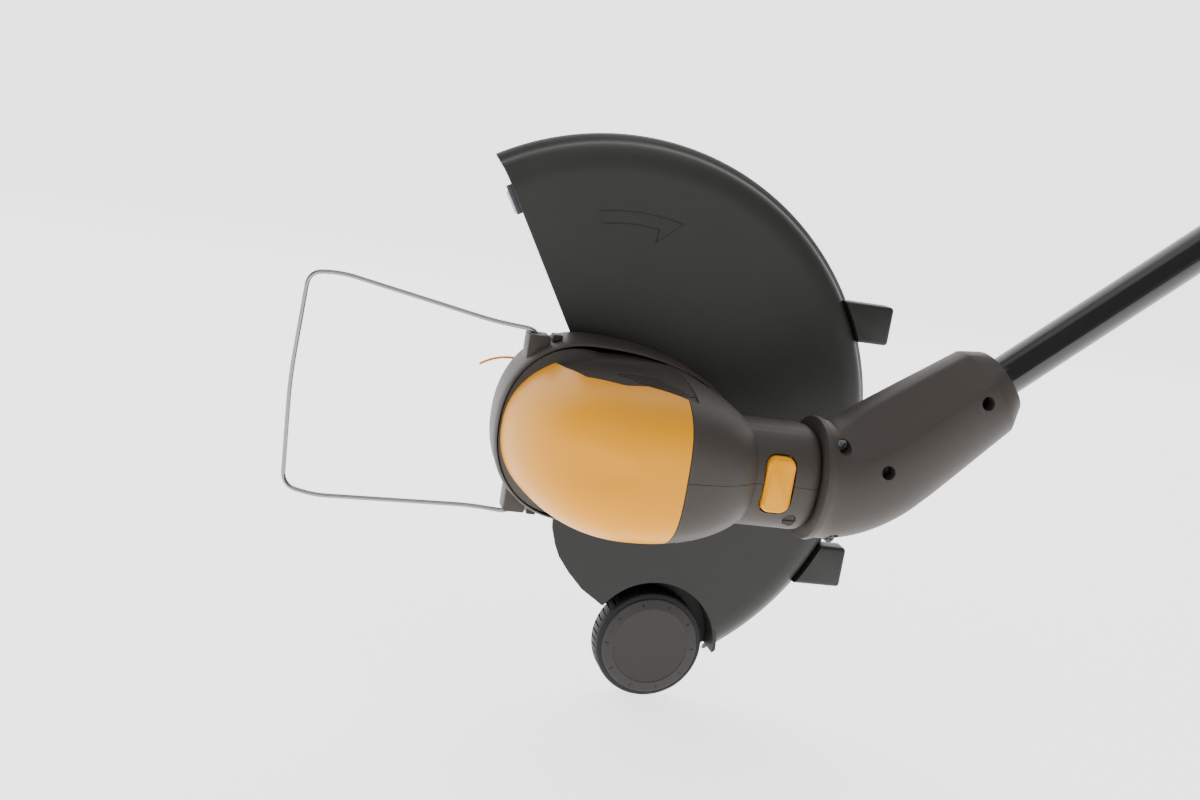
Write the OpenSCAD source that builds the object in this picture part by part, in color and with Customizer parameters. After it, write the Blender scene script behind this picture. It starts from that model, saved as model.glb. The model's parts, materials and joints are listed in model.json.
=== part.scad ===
// String trimmer, set for edging: the spindle lies level, the boom rises to the rear.
// Millimetres. +X points rearward along the neck, +Y out of the bump knob, +Z up.
// The origin is the centre of the bump knob's flat face, on the spindle's axis.

/* [Guard] */
// Outer radius of the guard's rim
guard_r = 190; // [178:1:200]
// Height of the guard's dished top above its rim
guard_h = 22; // [19:1:26]
// Wall thickness of the guard
guard_wall = 2.6; // [2:0.1:3.2]
// Angle of the guard's straight front edge from the rear direction
front_edge_a = 120.6; // [112:0.2:126]

/* [Edging wheel] */
// Radius of the tyre
wheel_r = 38; // [34:0.5:42]
// Width of the tyre
wheel_w = 21; // [17:0.5:22]

/* [Motor head] */
// Height of the guard's rim above the bump knob's face
rim_z = 30; // [29:0.5:33]
// Height of the neck's axis above the bump knob's face
neck_z = 146; // [144:0.5:150]
// Height of the motor cover's crown above the bump knob's face
crown_z = 200; // [190:1:202]
// Half width of the motor cover
cover_w = 54; // [50:0.5:55]
// Half width of the base ring
base_w = 59; // [57:0.5:62]
// Outer radius of the neck
neck_r = 33; // [32:0.5:34.5]

/* [Spool head] */
// Outer radius of the spinning spool housing
spool_r = 44; // [40:0.5:45]
// Thickness of the cutting line
line_d = 1.6; // [1.2:0.1:2.4]
// How far the bump knob travels
bump_travel = 4; // [2:0.5:4]

/* [Plant guard] */
// Thickness of the plant guard's wire
wire_d = 3; // [2.4:0.1:3.4]
// How far the plant guard reaches ahead of its pivot
wire_reach = 148; // [130:1:155]

/* [Boom] */
// Angle of the boom above the neck's axis
boom_a = 40.2; // [34:0.2:46]
// Outer diameter of the lower tube
lower_d = 26; // [24:0.5:26]
// Outer diameter of the upper tube
upper_d = 30; // [30:0.5:32]
// Distance from the elbow's bend to the upper tube's lower end
upper_start = 318; // [300:2:340]
// Length of the upper tube
upper_len = 430; // [420:5:480]
// How far the boom extends
telescope = 160; // [100:5:180]

/* [Handles] */
// Radius of the front handle's loop
loop_r = 62; // [58:1:70]
// Thickness of the front handle's bar
loop_bar = 22; // [18:1:24]
// Length of the rear handle's finger opening
finger_len = 104; // [96:1:112]
// How far the trigger swings
trigger_a = 9; // [4:0.5:10]

/* [Hidden] */
$fn = 64;
fit = 0.05;      // running clearance, radial
gap = 0.3;       // clearance between pieces that only pass each other
eps = 0.02;      // split line's half width between two shells
big = 600;       // larger than anything that is cut
shell = 2.6;     // housing wall
soft_fn = 32;    // facets of bends and rounded ends

// heights along the spindle
top_z = rim_z + guard_h;
base_top_z = top_z + 46;
line_z = rim_z + 3.5;
spool_top = top_z - guard_wall - 2.4;
shaft_r = 4;
bearing_low_z = top_z + 8;
bearing_high_z = crown_z - 26;
// neck and elbow along X
neck_end = 106;
button_x = 78;
screw_xs = [62, 96];
spigot_r = 25;
flange_r = 28;
bend_x = 134;
elbow_r = 37.5;
elbow_end = 118;
// the elbow's screw wells: along the boom, above its axis, and the depth of the floor
elbow_wells = [[5.5, 30, -18.5], [19, 5, -25], [95, 4.4, -17], [-28, -20, -11]];
// bearing of the line's eyelets
line_a = 150;
// edging wheel's centre in the head's plane
wheel_x = 56.7;
wheel_y = -153.4;
wheel_low = rim_z + 2;
arch_r = wheel_r + 8;
plate_r = 24;       // plate under the wheel
plate_t = 3;
axle_r = 3;
// the guard's two rear feet: their sides across the head, and how far back they reach
foot_spans = [[76, 103], [-100, -71]];
foot_end = 190;
cutter_lead = 0.6;  // the line cutter's lead on the guard's front edge, in degrees
// plant guard's pivot
pivot_x = -60;
pivot_z = top_z + 28;
lug_y = base_w - 3;
// boom stations
lower_len = 500;
lower_start = 38;
collar_len = 46;
front_s = upper_start + 240;
handle_s = upper_start + upper_len;
grip_s = handle_s + 46;
bulb_s = grip_s + finger_len;
// the front handle's pivot above the boom, and the top of the rear grip
front_z = upper_d / 2 + 20;
grip_top = 21.5;

// The head stands on its bump knob here, with its motor up: z is -Y of the row.
module in_head() rotate([90, 0, 0]) children();
// x runs up the boom from the bend, z is square to it on its upper side.
module in_boom() translate([bend_x, -neck_z, 0]) rotate([0, -boom_a, 0]) children();
module ring(ro, ri, h) difference() {
    cylinder(r = ro, h = h);
    translate([0, 0, -1]) cylinder(r = ri, h = h + 2);
}
module along_x(s) translate([s, 0, 0]) rotate([0, 90, 0]) children();
module along_y(y) translate([0, y, 0]) rotate([-90, 0, 0]) children();
module screw(r, len, head_r, head_h) {
    cylinder(r = r, h = len);
    translate([0, 0, len]) difference() {
        cylinder(r = head_r, h = head_h);
        translate([-head_r, -0.5, head_h - 0.8]) cube([2 * head_r, 1, 1]);
    }
}

// ---- outlines by formula ----
// egg-shaped plan: round in front, long to the rear
function egg(front, rear, w, cx, n = 60) = [for (i = [0 : n - 1])
    let (a = 360 * i / n, c = cos(a), s = sin(a), p = 2 / 2.2)
    [cx + (c < 0 ? front : rear) * sign(c) * pow(abs(c), p), w * sign(s) * pow(abs(s), p)]];
base_x = -25;
base_front = 57;
base_rear = 105;
module base_plan(inset) polygon(egg(base_front - inset, base_rear - inset, base_w - inset, base_x));

// The cover's dome: a superellipsoid, squarer across than along, offset inward by d
dome_x = -5;
dome_front = 74;
dome_rear = 77;
// the dome overhangs the ring behind, above a quarter of its height
dome_overhang = 17;
dome_low = base_top_z - 30;
dome_u = 40;
dome_v = 9;
function dome_point(i, j, d) =
    let (u = 360 * i / dome_u, v = 90 * j / dome_v, c = cos(u), s = sin(u),
         power = 2.3 + 1.2 * s * s + (c > 0 ? 0.7 * c * c : 0), e = 2 / power,
         cv = pow(cos(v), e), sv = pow(sin(v), e), p = 2 / 2.2,
         rear = dome_rear + dome_overhang * min(1, max(0, (sv - 0.3) / 0.45)))
    [dome_x + ((c < 0 ? dome_front : rear) - d) * cv * sign(c) * pow(abs(c), p),
     (cover_w - d) * cv * sign(s) * pow(abs(s), p),
     dome_low + (crown_z - d - dome_low) * sv];
module dome(d) {
    points = concat([for (j = [0 : dome_v - 1]) for (i = [0 : dome_u - 1]) dome_point(i, j, d)],
                    [[dome_x, 0, crown_z - d], [dome_x, 0, dome_low]]);
    top = dome_u * dome_v;
    faces = concat(
        [for (j = [0 : dome_v - 2]) for (i = [0 : dome_u - 1]) let (k = (i + 1) % dome_u)
            each [[j * dome_u + i, (j + 1) * dome_u + k, j * dome_u + k],
                  [j * dome_u + i, (j + 1) * dome_u + i, (j + 1) * dome_u + k]]],
        [for (i = [0 : dome_u - 1]) let (k = (i + 1) % dome_u, a = (dome_v - 1) * dome_u)
            [a + i, top, a + k]],
        [for (i = [0 : dome_u - 1]) let (k = (i + 1) % dome_u) [i, k, top + 1]]);
    polyhedron(points, faces, 4);
}
// the cover's side view: the beak in front and the crown up to the seam
seam_x = 16;
module cover_zone(grow) translate([0, big / 2, 0]) rotate([90, 0, 0]) linear_extrude(big)
    polygon([[-200, base_top_z - 6 - grow], [-52 + grow, base_top_z - 6 - grow],
             [-48 + grow, base_top_z + 20], [-40 + grow, base_top_z + 45 - grow],
             [-20, base_top_z + 64 - grow], [seam_x + grow, base_top_z + 76 - grow],
             [seam_x + grow, 300], [-200, 300]]);

// ---- guard, cutter and base ----
module guard_profile() {
    shoulder = 20;
    polygon(concat([[guard_r - 0.001, rim_z], [guard_r - 4.5, rim_z + 8]],
        [for (a = [10 : 20 : 90]) [guard_r - 6 - shoulder + shoulder * cos(a) * 1.02,
                                   top_z - 13.6 + 13.6 * sin(a)]],
        [[51, top_z], [51, top_z - guard_wall]],
        [for (a = [90 : -20 : 10])
            [guard_r - 6 - shoulder + (shoulder - guard_wall) * cos(a) * 1.02,
             top_z - 13.6 + (13.6 - guard_wall) * sin(a)]],
        [[guard_r - 4.5 - guard_wall, rim_z + 7], [guard_r - guard_wall, rim_z]]));
}
module guard_plan() {
    far = guard_r * 1.3;
    polygon([[-26, 0], [far * 0.2 * cos(front_edge_a), far * 0.2 * sin(front_edge_a)],
             [far * cos(front_edge_a), far * sin(front_edge_a)], [0, far], [far, far],
             [far, -far], [wheel_x, -far], [wheel_x, wheel_y], [13, -124], [-9, -106],
             [-21, -88], [-26, -70]]);
}
module guard() color("#3a3a38") in_head() {
    difference() {
        rotate_extrude($fn = 120) guard_profile();
        translate([0, 0, rim_z - 5]) linear_extrude(guard_h + 10) difference() {
            square(big, center = true);
            guard_plan();
            circle(r = base_w);
        }
        translate([wheel_x, wheel_y, rim_z - 5]) cylinder(r = arch_r, h = guard_h + 10);
    }
    // wall round the wheel's arch, and the plate under the wheel that holds its axle
    intersection() {
        translate([wheel_x, wheel_y, rim_z - 3]) ring(arch_r + guard_wall, arch_r - 0.1, top_z - rim_z + 2);
        linear_extrude(100) intersection() {
            guard_plan();
            circle(r = guard_r - 4);
        }
    }
    difference() {
        translate([0, 0, rim_z - plate_t]) linear_extrude(plate_t) {
            translate([wheel_x, wheel_y]) circle(r = plate_r);
            intersection() {
                translate([wheel_x, wheel_y]) circle(r = arch_r + 1);
                guard_plan();
                circle(r = guard_r - 4);
            }
        }
        translate([wheel_x, wheel_y, rim_z - 9]) cylinder(r = axle_r, h = 20);
    }
    // two rear feet
    for (foot = foot_spans)
        difference() {
            translate([150, foot[0], rim_z + 2]) cube([foot_end - 150, foot[1] - foot[0], 16]);
            translate([0, 0, rim_z - 10]) cylinder(r = guard_r - 6, h = 60);
        }
}
module guard_screws() color("#8d9093") in_head()
    for (a = [60, -20, -80]) rotate([0, 0, a]) translate([54.5, 0, top_z - guard_wall - 1.5])
        cylinder(r = 2.2, h = 1.5);
module line_cutter() color("#4a4c50") in_head() rotate([0, 0, front_edge_a + cutter_lead])
    translate([0, 0, rim_z + 2]) {
        translate([150, 0, 0]) cube([15, 1.5, 12]);
        translate([150, -14, 12]) cube([20, 15.5, 1.5]);
    }
module cutter_screws() color("#8d9093") in_head() rotate([0, 0, front_edge_a + cutter_lead])
    for (x = [155, 165]) translate([x, -8, rim_z + 11]) cylinder(r = 2.4, h = 1);
module base_ring() color("#55504c") in_head() {
    difference() {
        translate([0, 0, top_z]) linear_extrude(base_top_z - top_z) base_plan(0);
        translate([0, 0, top_z + 3]) linear_extrude(base_top_z) base_plan(shell);
        translate([0, 0, top_z - 1]) cylinder(r = 22, h = 10);
        for (y = [-1, 1]) translate([pivot_x, y * lug_y, pivot_z]) rotate([90, 0, 0])
            cylinder(r = wire_d / 2 + fit, h = 60, center = true);
    }
    // lugs that hold the plant guard's ends
    for (y = [-1, 1]) difference() {
        translate([pivot_x - 7, y > 0 ? lug_y - 19 : -lug_y, pivot_z - 10]) cube([14, 19, 18]);
        translate([0, 0, top_z - 1]) linear_extrude(100) base_plan(shell / 2);
        translate([pivot_x, y * lug_y, pivot_z]) rotate([90, 0, 0])
            cylinder(r = wire_d / 2 + fit, h = 60, center = true);
    }
}
module base_screws() color("#8d9093") in_head()
    for (p = [[-40, 34], [-40, -34], [30, 34], [30, -34]]) translate([p[0], p[1], top_z + 3])
        screw(1.8, 6, 3.5, 2);

// ---- edging wheel ----
module wheel_axle() color("#9a9da0") in_head() translate([wheel_x, wheel_y, rim_z - 6]) {
    cylinder(r = 3, h = wheel_w + 2);
    translate([0, 0, -1.5]) cylinder(r = 5.5, h = 4.4);
}
module wheel_hub() color("#454544") in_head() translate([wheel_x, wheel_y, wheel_low])
    difference() {
        union() {
            cylinder(r = wheel_r - 6, h = wheel_w - 2);
            cylinder(r = 8, h = wheel_w - 2);
        }
        translate([0, 0, -1]) cylinder(r = 3 + fit, h = wheel_w - 4);
        for (a = [0 : 60 : 300]) rotate([0, 0, a + 30]) translate([17, 0, -1])
            cylinder(r = 6, h = wheel_w - 6);
    }
module wheel_tyre() color("#2d2d2e") in_head() translate([wheel_x, wheel_y, wheel_low])
    difference() {
        union() {
            translate([0, 0, 3]) cylinder(r = wheel_r, h = wheel_w - 8);
            cylinder(r1 = wheel_r - 2.5, r2 = wheel_r, h = 3);
            translate([0, 0, wheel_w - 5]) cylinder(r1 = wheel_r, r2 = wheel_r - 2.5, h = 3);
        }
        translate([0, 0, -1]) cylinder(r = wheel_r - 6, h = wheel_w + 2);
        for (a = [0 : 10 : 350]) rotate([0, 0, a]) translate([wheel_r, 0, 6])
            cube([2, 2, wheel_w - 13]);
    }
module wheel_cap() color("#484846") in_head() translate([wheel_x, wheel_y, wheel_low + wheel_w - 2])
    difference() {
        union() {
            cylinder(r = wheel_r - 4.4, h = 1.2);
            translate([0, 0, 1.2]) cylinder(r1 = wheel_r - 4.4, r2 = wheel_r - 11, h = 1.6);
        }
        for (a = [0 : 36 : 324]) rotate([0, 0, a]) translate([wheel_r - 10, -0.6, 2])
            cube([6, 1.2, 2]);
    }

// ---- plant guard: a sprung wire loop on two pivots ----
module wire_bar(a, b) hull() {
    translate(a) sphere(r = wire_d / 2, $fn = 10);
    translate(b) sphere(r = wire_d / 2, $fn = 10);
}
module wire_leg(side) {
    y = lug_y + wire_d / 2 + 0.6;
    p0 = [pivot_x, side * y, pivot_z];
    p1 = [pivot_x - 26, side * (y + 1), pivot_z - 10];
    p2 = [pivot_x - wire_reach + 20, side * (y + 15), pivot_z - 44];
    p3 = [pivot_x - wire_reach + 7, side * (y + 9), pivot_z - 49];
    p4 = [pivot_x - wire_reach + 1, side * (y - 8), pivot_z - 51];
    wire_bar(p0, p1);
    wire_bar(p1, p2);
    wire_bar(p2, p3);
    wire_bar(p3, p4);
    translate([pivot_x, side * y, pivot_z]) rotate([side * 90, 0, 0])
        cylinder(r = wire_d / 2, h = 18);
    wire_bar(p4, [pivot_x - wire_reach, 0, pivot_z - 52]);
}
module plant_guard() color("#c9ccd0") in_head() for (s = [-1, 1]) wire_leg(s);
module guard_clips() color("#2c2c2c") in_head() difference() {
    for (s = [-1, 1]) translate([pivot_x + 9, s * lug_y - 3, pivot_z - 6]) cube([6, 6, 11]);
    translate([0, 0, top_z]) linear_extrude(60) base_plan(-eps);
}

// ---- motor housing: two shells split on the spindle's plane ----
module neck_tube(r, inset) along_x(20) cylinder(r = r, h = neck_end - 20 - inset);
module housing_body() difference() {
    union() {
        intersection() {
            dome(0);
            translate([-200, -100, base_top_z - 4]) cube([400, 200, 200]);
        }
        translate([0, 0, top_z + 6]) linear_extrude(base_top_z - 8 - top_z) base_plan(10);
        translate([0, 0, neck_z]) {
            neck_tube(neck_r, 0);
            along_x(neck_end - 1) cylinder(r = spigot_r, h = 9 + 1);
            along_x(neck_end + 8.2) cylinder(r = flange_r, h = 4);
        }
    }
    // outside skin under the coloured cover
    difference() {
        dome(-1);
        dome(2.6 + gap);
        cover_inverse();
    }
    difference() {
        dome(5.4);
        translate([46, -100, 0]) cube([200, 200, 300]);
    }
    translate([0, 0, top_z]) linear_extrude(base_top_z - 9 - top_z) base_plan(12.8);
    translate([0, 0, top_z + 40]) cylinder(r = 43, h = 12);
    translate([0, 0, neck_z]) along_x(40) cylinder(r = 14, h = 100);
    // button window, and the pocket in which its flange slides
    translate([button_x, 0, neck_z + 18]) button_block(gap, 20);
    translate([button_x, 0, neck_z + 15]) linear_extrude(9.5)
        square([24 + 2 * gap, 34 + 2 * gap], center = true);
    for (x = screw_xs) translate([x, 0, neck_z - 26]) along_y(-6 - eps)
        cylinder(r = 1.8 + eps, h = 12 + 2 * eps);
    translate([92, -22, neck_z + 20]) cylinder(r = 4, h = 20);
    // louvres, both sides
    for (k = [0 : 6]) for (s = [-1, 1])
        translate([-20 + 2 * k, s * 60 - 15, base_top_z + 14 + 5.5 * k]) cube([46, 30, 1.8]);
}
module cover_inverse() difference() {
    translate([-big / 2, -big / 2, -10]) cube(big);
    cover_zone(gap);
}
module button_block(grow, h) linear_extrude(h) offset(r = 6 + grow) square([8, 24], center = true);
module housing_half(side) in_head() intersection() {
    housing_body();
    translate([-big / 2, side > 0 ? eps : -big - eps, 0]) cube(big);
}
module housing_left() color("#4d4845") housing_half(1);
module housing_right() color("#4b4643") housing_half(-1);
module housing_screws() color("#8d9093") in_head() for (x = screw_xs)
    translate([x, 0, neck_z - 26]) along_y(-6) cylinder(r = 1.8, h = 12);
module top_cover() color("#f2b61c") in_head() difference() {
    intersection() {
        dome(0);
        cover_zone(0);
    }
    dome(2.6);
}
module neck_peg() color("#3c3a38") in_head() translate([92, -22, neck_z + 20.5])
    difference() {
        cylinder(r = 3.7, h = neck_r - 20.5 - 6.5);
        translate([-5, -0.6, neck_r - 20.5 - 7.5]) cube([10, 1.2, 2]);
    }

// ---- motor ----
module motor_bracket() color("#8a8d90") in_head() {
    translate([0, 0, top_z + 3]) difference() {
        union() {
            cylinder(r = 34, h = 3);
            cylinder(r = 17, h = 16);
        }
        translate([0, 0, -1]) cylinder(r = 7, h = 30);
        translate([0, 0, bearing_low_z - top_z - 3]) cylinder(r = 13, h = 30);
    }
    translate([0, 0, bearing_high_z - 4]) difference() {
        union() {
            cylinder(r = 14, h = 13);
            translate([-38, -5, 0]) cube([76, 10, 4]);
        }
        translate([0, 0, -1]) cylinder(r = 6, h = 30);
        translate([0, 0, 3]) cylinder(r = 11, h = 30);
    }
}
module bearing(ro, h) difference() {
    cylinder(r = ro, h = h);
    translate([0, 0, -1]) cylinder(r = shaft_r + fit, h = h + 2);
}
module lower_bearing() color("#b9bcc0") in_head() translate([0, 0, bearing_low_z])
    bearing(13 - eps, 8);
module upper_bearing() color("#b9bcc0") in_head() translate([0, 0, bearing_high_z - 1])
    bearing(11 - eps, 7);
module stator() color("#6a6d70") in_head() translate([0, 0, top_z + 44]) difference() {
    cylinder(r = 40, h = 42);
    translate([0, 0, -1]) cylinder(r = 24, h = 50);
    for (s = [-1, 1]) translate([s * 40 - 8, -50, -1]) cube([16, 100, 50]);
}
module field_coils() color("#a8642c") in_head() for (s = [-1, 1])
    translate([0, s * 31, top_z + 44 - 5]) difference() {
        translate([-20, -4.5, 0]) cube([40, 9, 4.8]);
        translate([-12, -6, -1]) cube([24, 12, 3]);
    }
module armature() color("#7d7f82") in_head() {
    translate([0, 0, 10]) cylinder(r = shaft_r, h = bearing_high_z + 5 - 10);
    translate([0, 0, top_z + 45]) cylinder(r = 23, h = 40);
    translate([0, 0, top_z + 39]) cylinder(r = 17, h = 6);
    translate([0, 0, top_z + 85]) cylinder(r = 17, h = 5);
}
module commutator() color("#b87444") in_head() translate([0, 0, top_z + 94]) difference() {
    cylinder(r = 11, h = 15);
    translate([0, 0, -1]) cylinder(r = shaft_r, h = 20);
    for (a = [0 : 30 : 330]) rotate([0, 0, a]) translate([10.2, -0.3, -1]) cube([2, 0.6, 20]);
}
module fan() color("#30302f") in_head() translate([0, 0, top_z + 26]) difference() {
    union() {
        cylinder(r = 36, h = 2);
        cylinder(r = 9, h = 11);
        for (a = [0 : 30 : 330]) rotate([0, 0, a]) translate([8, -0.8, 0]) cube([27, 1.6, 9]);
    }
    translate([0, 0, -1]) cylinder(r = shaft_r, h = 20);
}
module brush_holders() color("#3b2a20") in_head() for (s = [-1, 1])
    translate([-5, s > 0 ? 13 : -33, top_z + 96]) difference() {
        cube([10, 20, 10]);
        translate([2, -1, 2]) cube([6, 22, 6]);
    }
module brushes() color("#2b2b2b") in_head() for (s = [-1, 1])
    translate([-2.9, s > 0 ? 11.1 : -27.1, top_z + 98.1]) cube([5.8, 16, 5.8]);
module motor_lead() color("#2a2a2a") in_head() translate([0, 0, neck_z]) {
    along_x(44) cylinder(r = 3.4, h = neck_end + 4 - 44, $fn = 24);
}

// ---- spool head, turning on the shaft ----
module spool_housing() color("#2f2f2f") in_head() difference() {
    union() {
        translate([0, 0, spool_top - 3]) cylinder(r = spool_r, h = 3);
        translate([0, 0, 14]) ring(spool_r, spool_r - 3, spool_top - 14);
        translate([0, 0, 22]) cylinder(r = 9, h = spool_top - 22);
        for (a = [0 : 45 : 315]) rotate([0, 0, a + 37.5]) translate([spool_r - 1, -2, 16])
            cube([2, 4, spool_top - 16]);
    }
    translate([0, 0, 8]) cylinder(r = shaft_r, h = 60);
    for (a = [line_a, line_a + 180]) rotate([0, 0, a]) translate([spool_r - 6, 0, line_z])
        rotate([0, 90, 0]) cylinder(r = 3.2, h = 12);
}
module line_eyelets() color("#c4c7ca") in_head() for (a = [line_a, line_a + 180])
    rotate([0, 0, a]) translate([spool_r - 3.5, 0, line_z]) rotate([0, 90, 0]) difference() {
        union() {
            cylinder(r = 3.2, h = 4);
            translate([0, 0, 3.5]) cylinder(r = 4.6, h = 1.4);
        }
        translate([0, 0, -1]) cylinder(r = line_d / 2 + 0.3, h = 9);
    }
module spool() color("#1f1f20") in_head() difference() {
    union() {
        translate([0, 0, 18]) cylinder(r = 38, h = 1.8);
        translate([0, 0, line_z - 4]) cylinder(r = 38, h = 1.6);
        translate([0, 0, spool_top - 6]) cylinder(r = 38, h = 1.8);
        translate([0, 0, 18]) cylinder(r = 14, h = spool_top - 22);
    }
    translate([0, 0, 10]) cylinder(r = 9 + gap, h = 60);
}
module line_winding() color("#f08a24") in_head() {
    translate([0, 0, 19.8]) ring(31, 14, line_z - 4 - 19.8);
    translate([0, 0, line_z - 2.4]) ring(30, 14, spool_top - 6 - line_z + 2.4);
}
// the free end of the line, bent the way it comes off the spool
module cutting_line() color("#f59a32") in_head() rotate([0, 0, line_a]) {
    translate([spool_r - 12, 0, line_z]) rotate([0, 90, 0])
        cylinder(r = line_d / 2, h = 24, $fn = 16);
    translate([spool_r + 12, 36, line_z]) rotate([0, 0, -90]) rotate_extrude(angle = 66, $fn = soft_fn)
        translate([36, 0]) circle(r = line_d / 2, $fn = 14);
}
module spool_cap() color("#262626") in_head() {
    translate([0, 0, 10]) ring(spool_r, 27, 4);
    for (s = [0, 180]) rotate([0, 0, s + 60]) translate([spool_r - 5.3, -6, 13])
        cube([1.6, 12, 5]);
}
module bump_knob() color("#1c1c1d") in_head() difference() {
    union() {
        cylinder(r1 = 22, r2 = 25, h = 4);
        translate([0, 0, 4]) cylinder(r = 25, h = 8);
    }
    translate([0, 0, 5]) cylinder(r = 8, h = 20);
    for (a = [0 : 30 : 330]) rotate([0, 0, a]) translate([27, 0, -1]) cylinder(r = 3.4, h = 12);
}
module bump_spring() color("#a9acaf") in_head() translate([0, 0, 12.2 + bump_travel]) ring(7.6, 6.4, 1.6);

// ---- neck lock ----
module release_button() color("#e8ac16") in_head() translate([button_x, 0, neck_z]) {
    translate([0, 0, 23.5]) button_block(0, neck_r + 2.5 - 23.5);
    translate([0, 0, 22.2]) linear_extrude(2) square([24, 34], center = true);
}
module button_spring() color("#a9acaf") in_head() translate([button_x, 0, neck_z + 15.1])
    ring(4, 3, 4);

// ---- elbow and lower tube ----
// screw wells in the elbow: along the boom, square to it, depth of the head from the split
module elbow_skin() difference() {
    union() {
        rotate([0, boom_a, 0]) along_x(neck_end - bend_x) cylinder(r = elbow_r, h = bend_x - neck_end);
        sphere(r = elbow_r + 0.8);
        along_x(1) cylinder(r1 = elbow_r + 0.3, r2 = 29, h = elbow_end - 13);
        along_x(elbow_end - 12.5) cylinder(r1 = 28.8, r2 = 20, h = 12.5);
    }
    rotate([0, boom_a, 0]) translate([neck_end + 1.2 - bend_x - 60, -60, -60]) cube([60, 120, 120]);
}
module neck_socket() rotate([0, boom_a, 0]) {
    along_x(neck_end - bend_x) cylinder(r = spigot_r + fit, h = 16);
    along_x(neck_end + 8.1 - bend_x) cylinder(r = flange_r + fit, h = 4.2);
}
module elbow_hollow() {
    rotate([0, boom_a, 0]) along_x(neck_end + 14.5 - bend_x)
        cylinder(r = elbow_r - 7, h = bend_x - neck_end - 16);
    sphere(r = elbow_r - 6);
    along_x(10) cylinder(r1 = 26, r2 = lower_d / 2 + 1, h = lower_start - 9);
}
module elbow_shape() difference() {
    union() {
        difference() {
            elbow_skin();
            elbow_hollow();
        }
        for (p = elbow_wells) if (p[0] > 0) intersection() {
            translate([p[0], 0, p[1]]) along_y(-elbow_r) cylinder(r = 6.4, h = 2 * elbow_r);
            elbow_skin();
        }
    }
    neck_socket();
    along_x(lower_start) cylinder(r = lower_d / 2 + eps, h = 200);
    for (p = elbow_wells) translate([p[0], 0, p[1]]) along_y(-elbow_r - 2)
        cylinder(r = 4.3, h = elbow_r + 2 + p[2]);
}
module elbow_half(side) in_boom() intersection() {
    elbow_shape();
    translate([-big / 2, side > 0 ? eps : -big - eps, -big / 2]) cube(big);
}
module elbow_left() color("#4b4643") elbow_half(-1);
module elbow_right() color("#4b4643") elbow_half(1);
module elbow_screws() color("#6f7174") in_boom() for (p = elbow_wells) translate([p[0], 0, p[1]])
    along_y(p[2] - 2.4) difference() {
        cylinder(r = 3.6, h = 2.4);
        translate([-0.6, -2.4, -0.1]) cube([1.2, 4.8, 1]);
        translate([-2.4, -0.6, -0.1]) cube([4.8, 1.2, 1]);
    }
module lower_tube() color("#17171a") in_boom() difference() {
    along_x(lower_start) cylinder(r = lower_d / 2, h = lower_len);
    along_x(lower_start - 1) cylinder(r = lower_d / 2 - 2.4, h = lower_len + 2);
    for (a = [66, 180, -66]) rotate([a, 0, 0]) translate([elbow_end + 2, -4.3, lower_d / 2 - 1.2])
        cube([lower_len, 8.6, 5]);
}
module coiled_lead() color("#222222") in_boom() {
    along_x(lower_start) cylinder(r = 3.4, h = upper_start + 62 - lower_start, $fn = 24);
    along_x(upper_start + 60) cylinder(r = lower_d / 2 - 4.4, h = upper_len - 70, $fn = 24);
}

// ---- upper tube and its clamp ----
module upper_tube() color("#1b1b1d") in_boom() difference() {
    along_x(upper_start) cylinder(r = upper_d / 2, h = upper_len);
    along_x(upper_start - 1) cylinder(r = upper_d / 2 - 1.5, h = upper_len + 2);
}
module clamp_collar() color("#2a2a2b") in_boom() difference() {
    union() {
        along_x(upper_start - 12) cylinder(r = 21, h = collar_len + 12);
        translate([upper_start + 6, -9, 14]) cube([26, 18, 15]);
    }
    along_x(upper_start - 20) cylinder(r = lower_d / 2 + fit, h = 20.5);
    along_x(upper_start) cylinder(r = upper_d / 2 + 0.02, h = 80);
    translate([upper_start - 3, -4.6, 20]) cube([50, 9.2, 20]);
    translate([upper_start + 19, 0, 24.5]) along_y(-20) cylinder(r = 2 + eps, h = 40);
    translate([upper_start - 13, -1, -30]) cube([30, 2, 18]);
}
module clamp_lever() color("#d9a01a") in_boom() difference() {
    union() {
        translate([upper_start + 19, 0, 24.5]) along_y(-4.2) cylinder(r = 4, h = 8.4);
        translate([upper_start + 19, -4.2, 24.5]) cube([50, 8.4, 4]);
        translate([upper_start + 55, -9, 24.5]) cube([16, 18, 4]);
    }
    translate([upper_start + 19, 0, 24.5]) along_y(-20) cylinder(r = 2 + fit, h = 40);
}
module lever_pin() color("#a9acaf") in_boom() translate([upper_start + 19, 0, 24.5])
    along_y(-9.5) cylinder(r = 2, h = 19);

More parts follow.
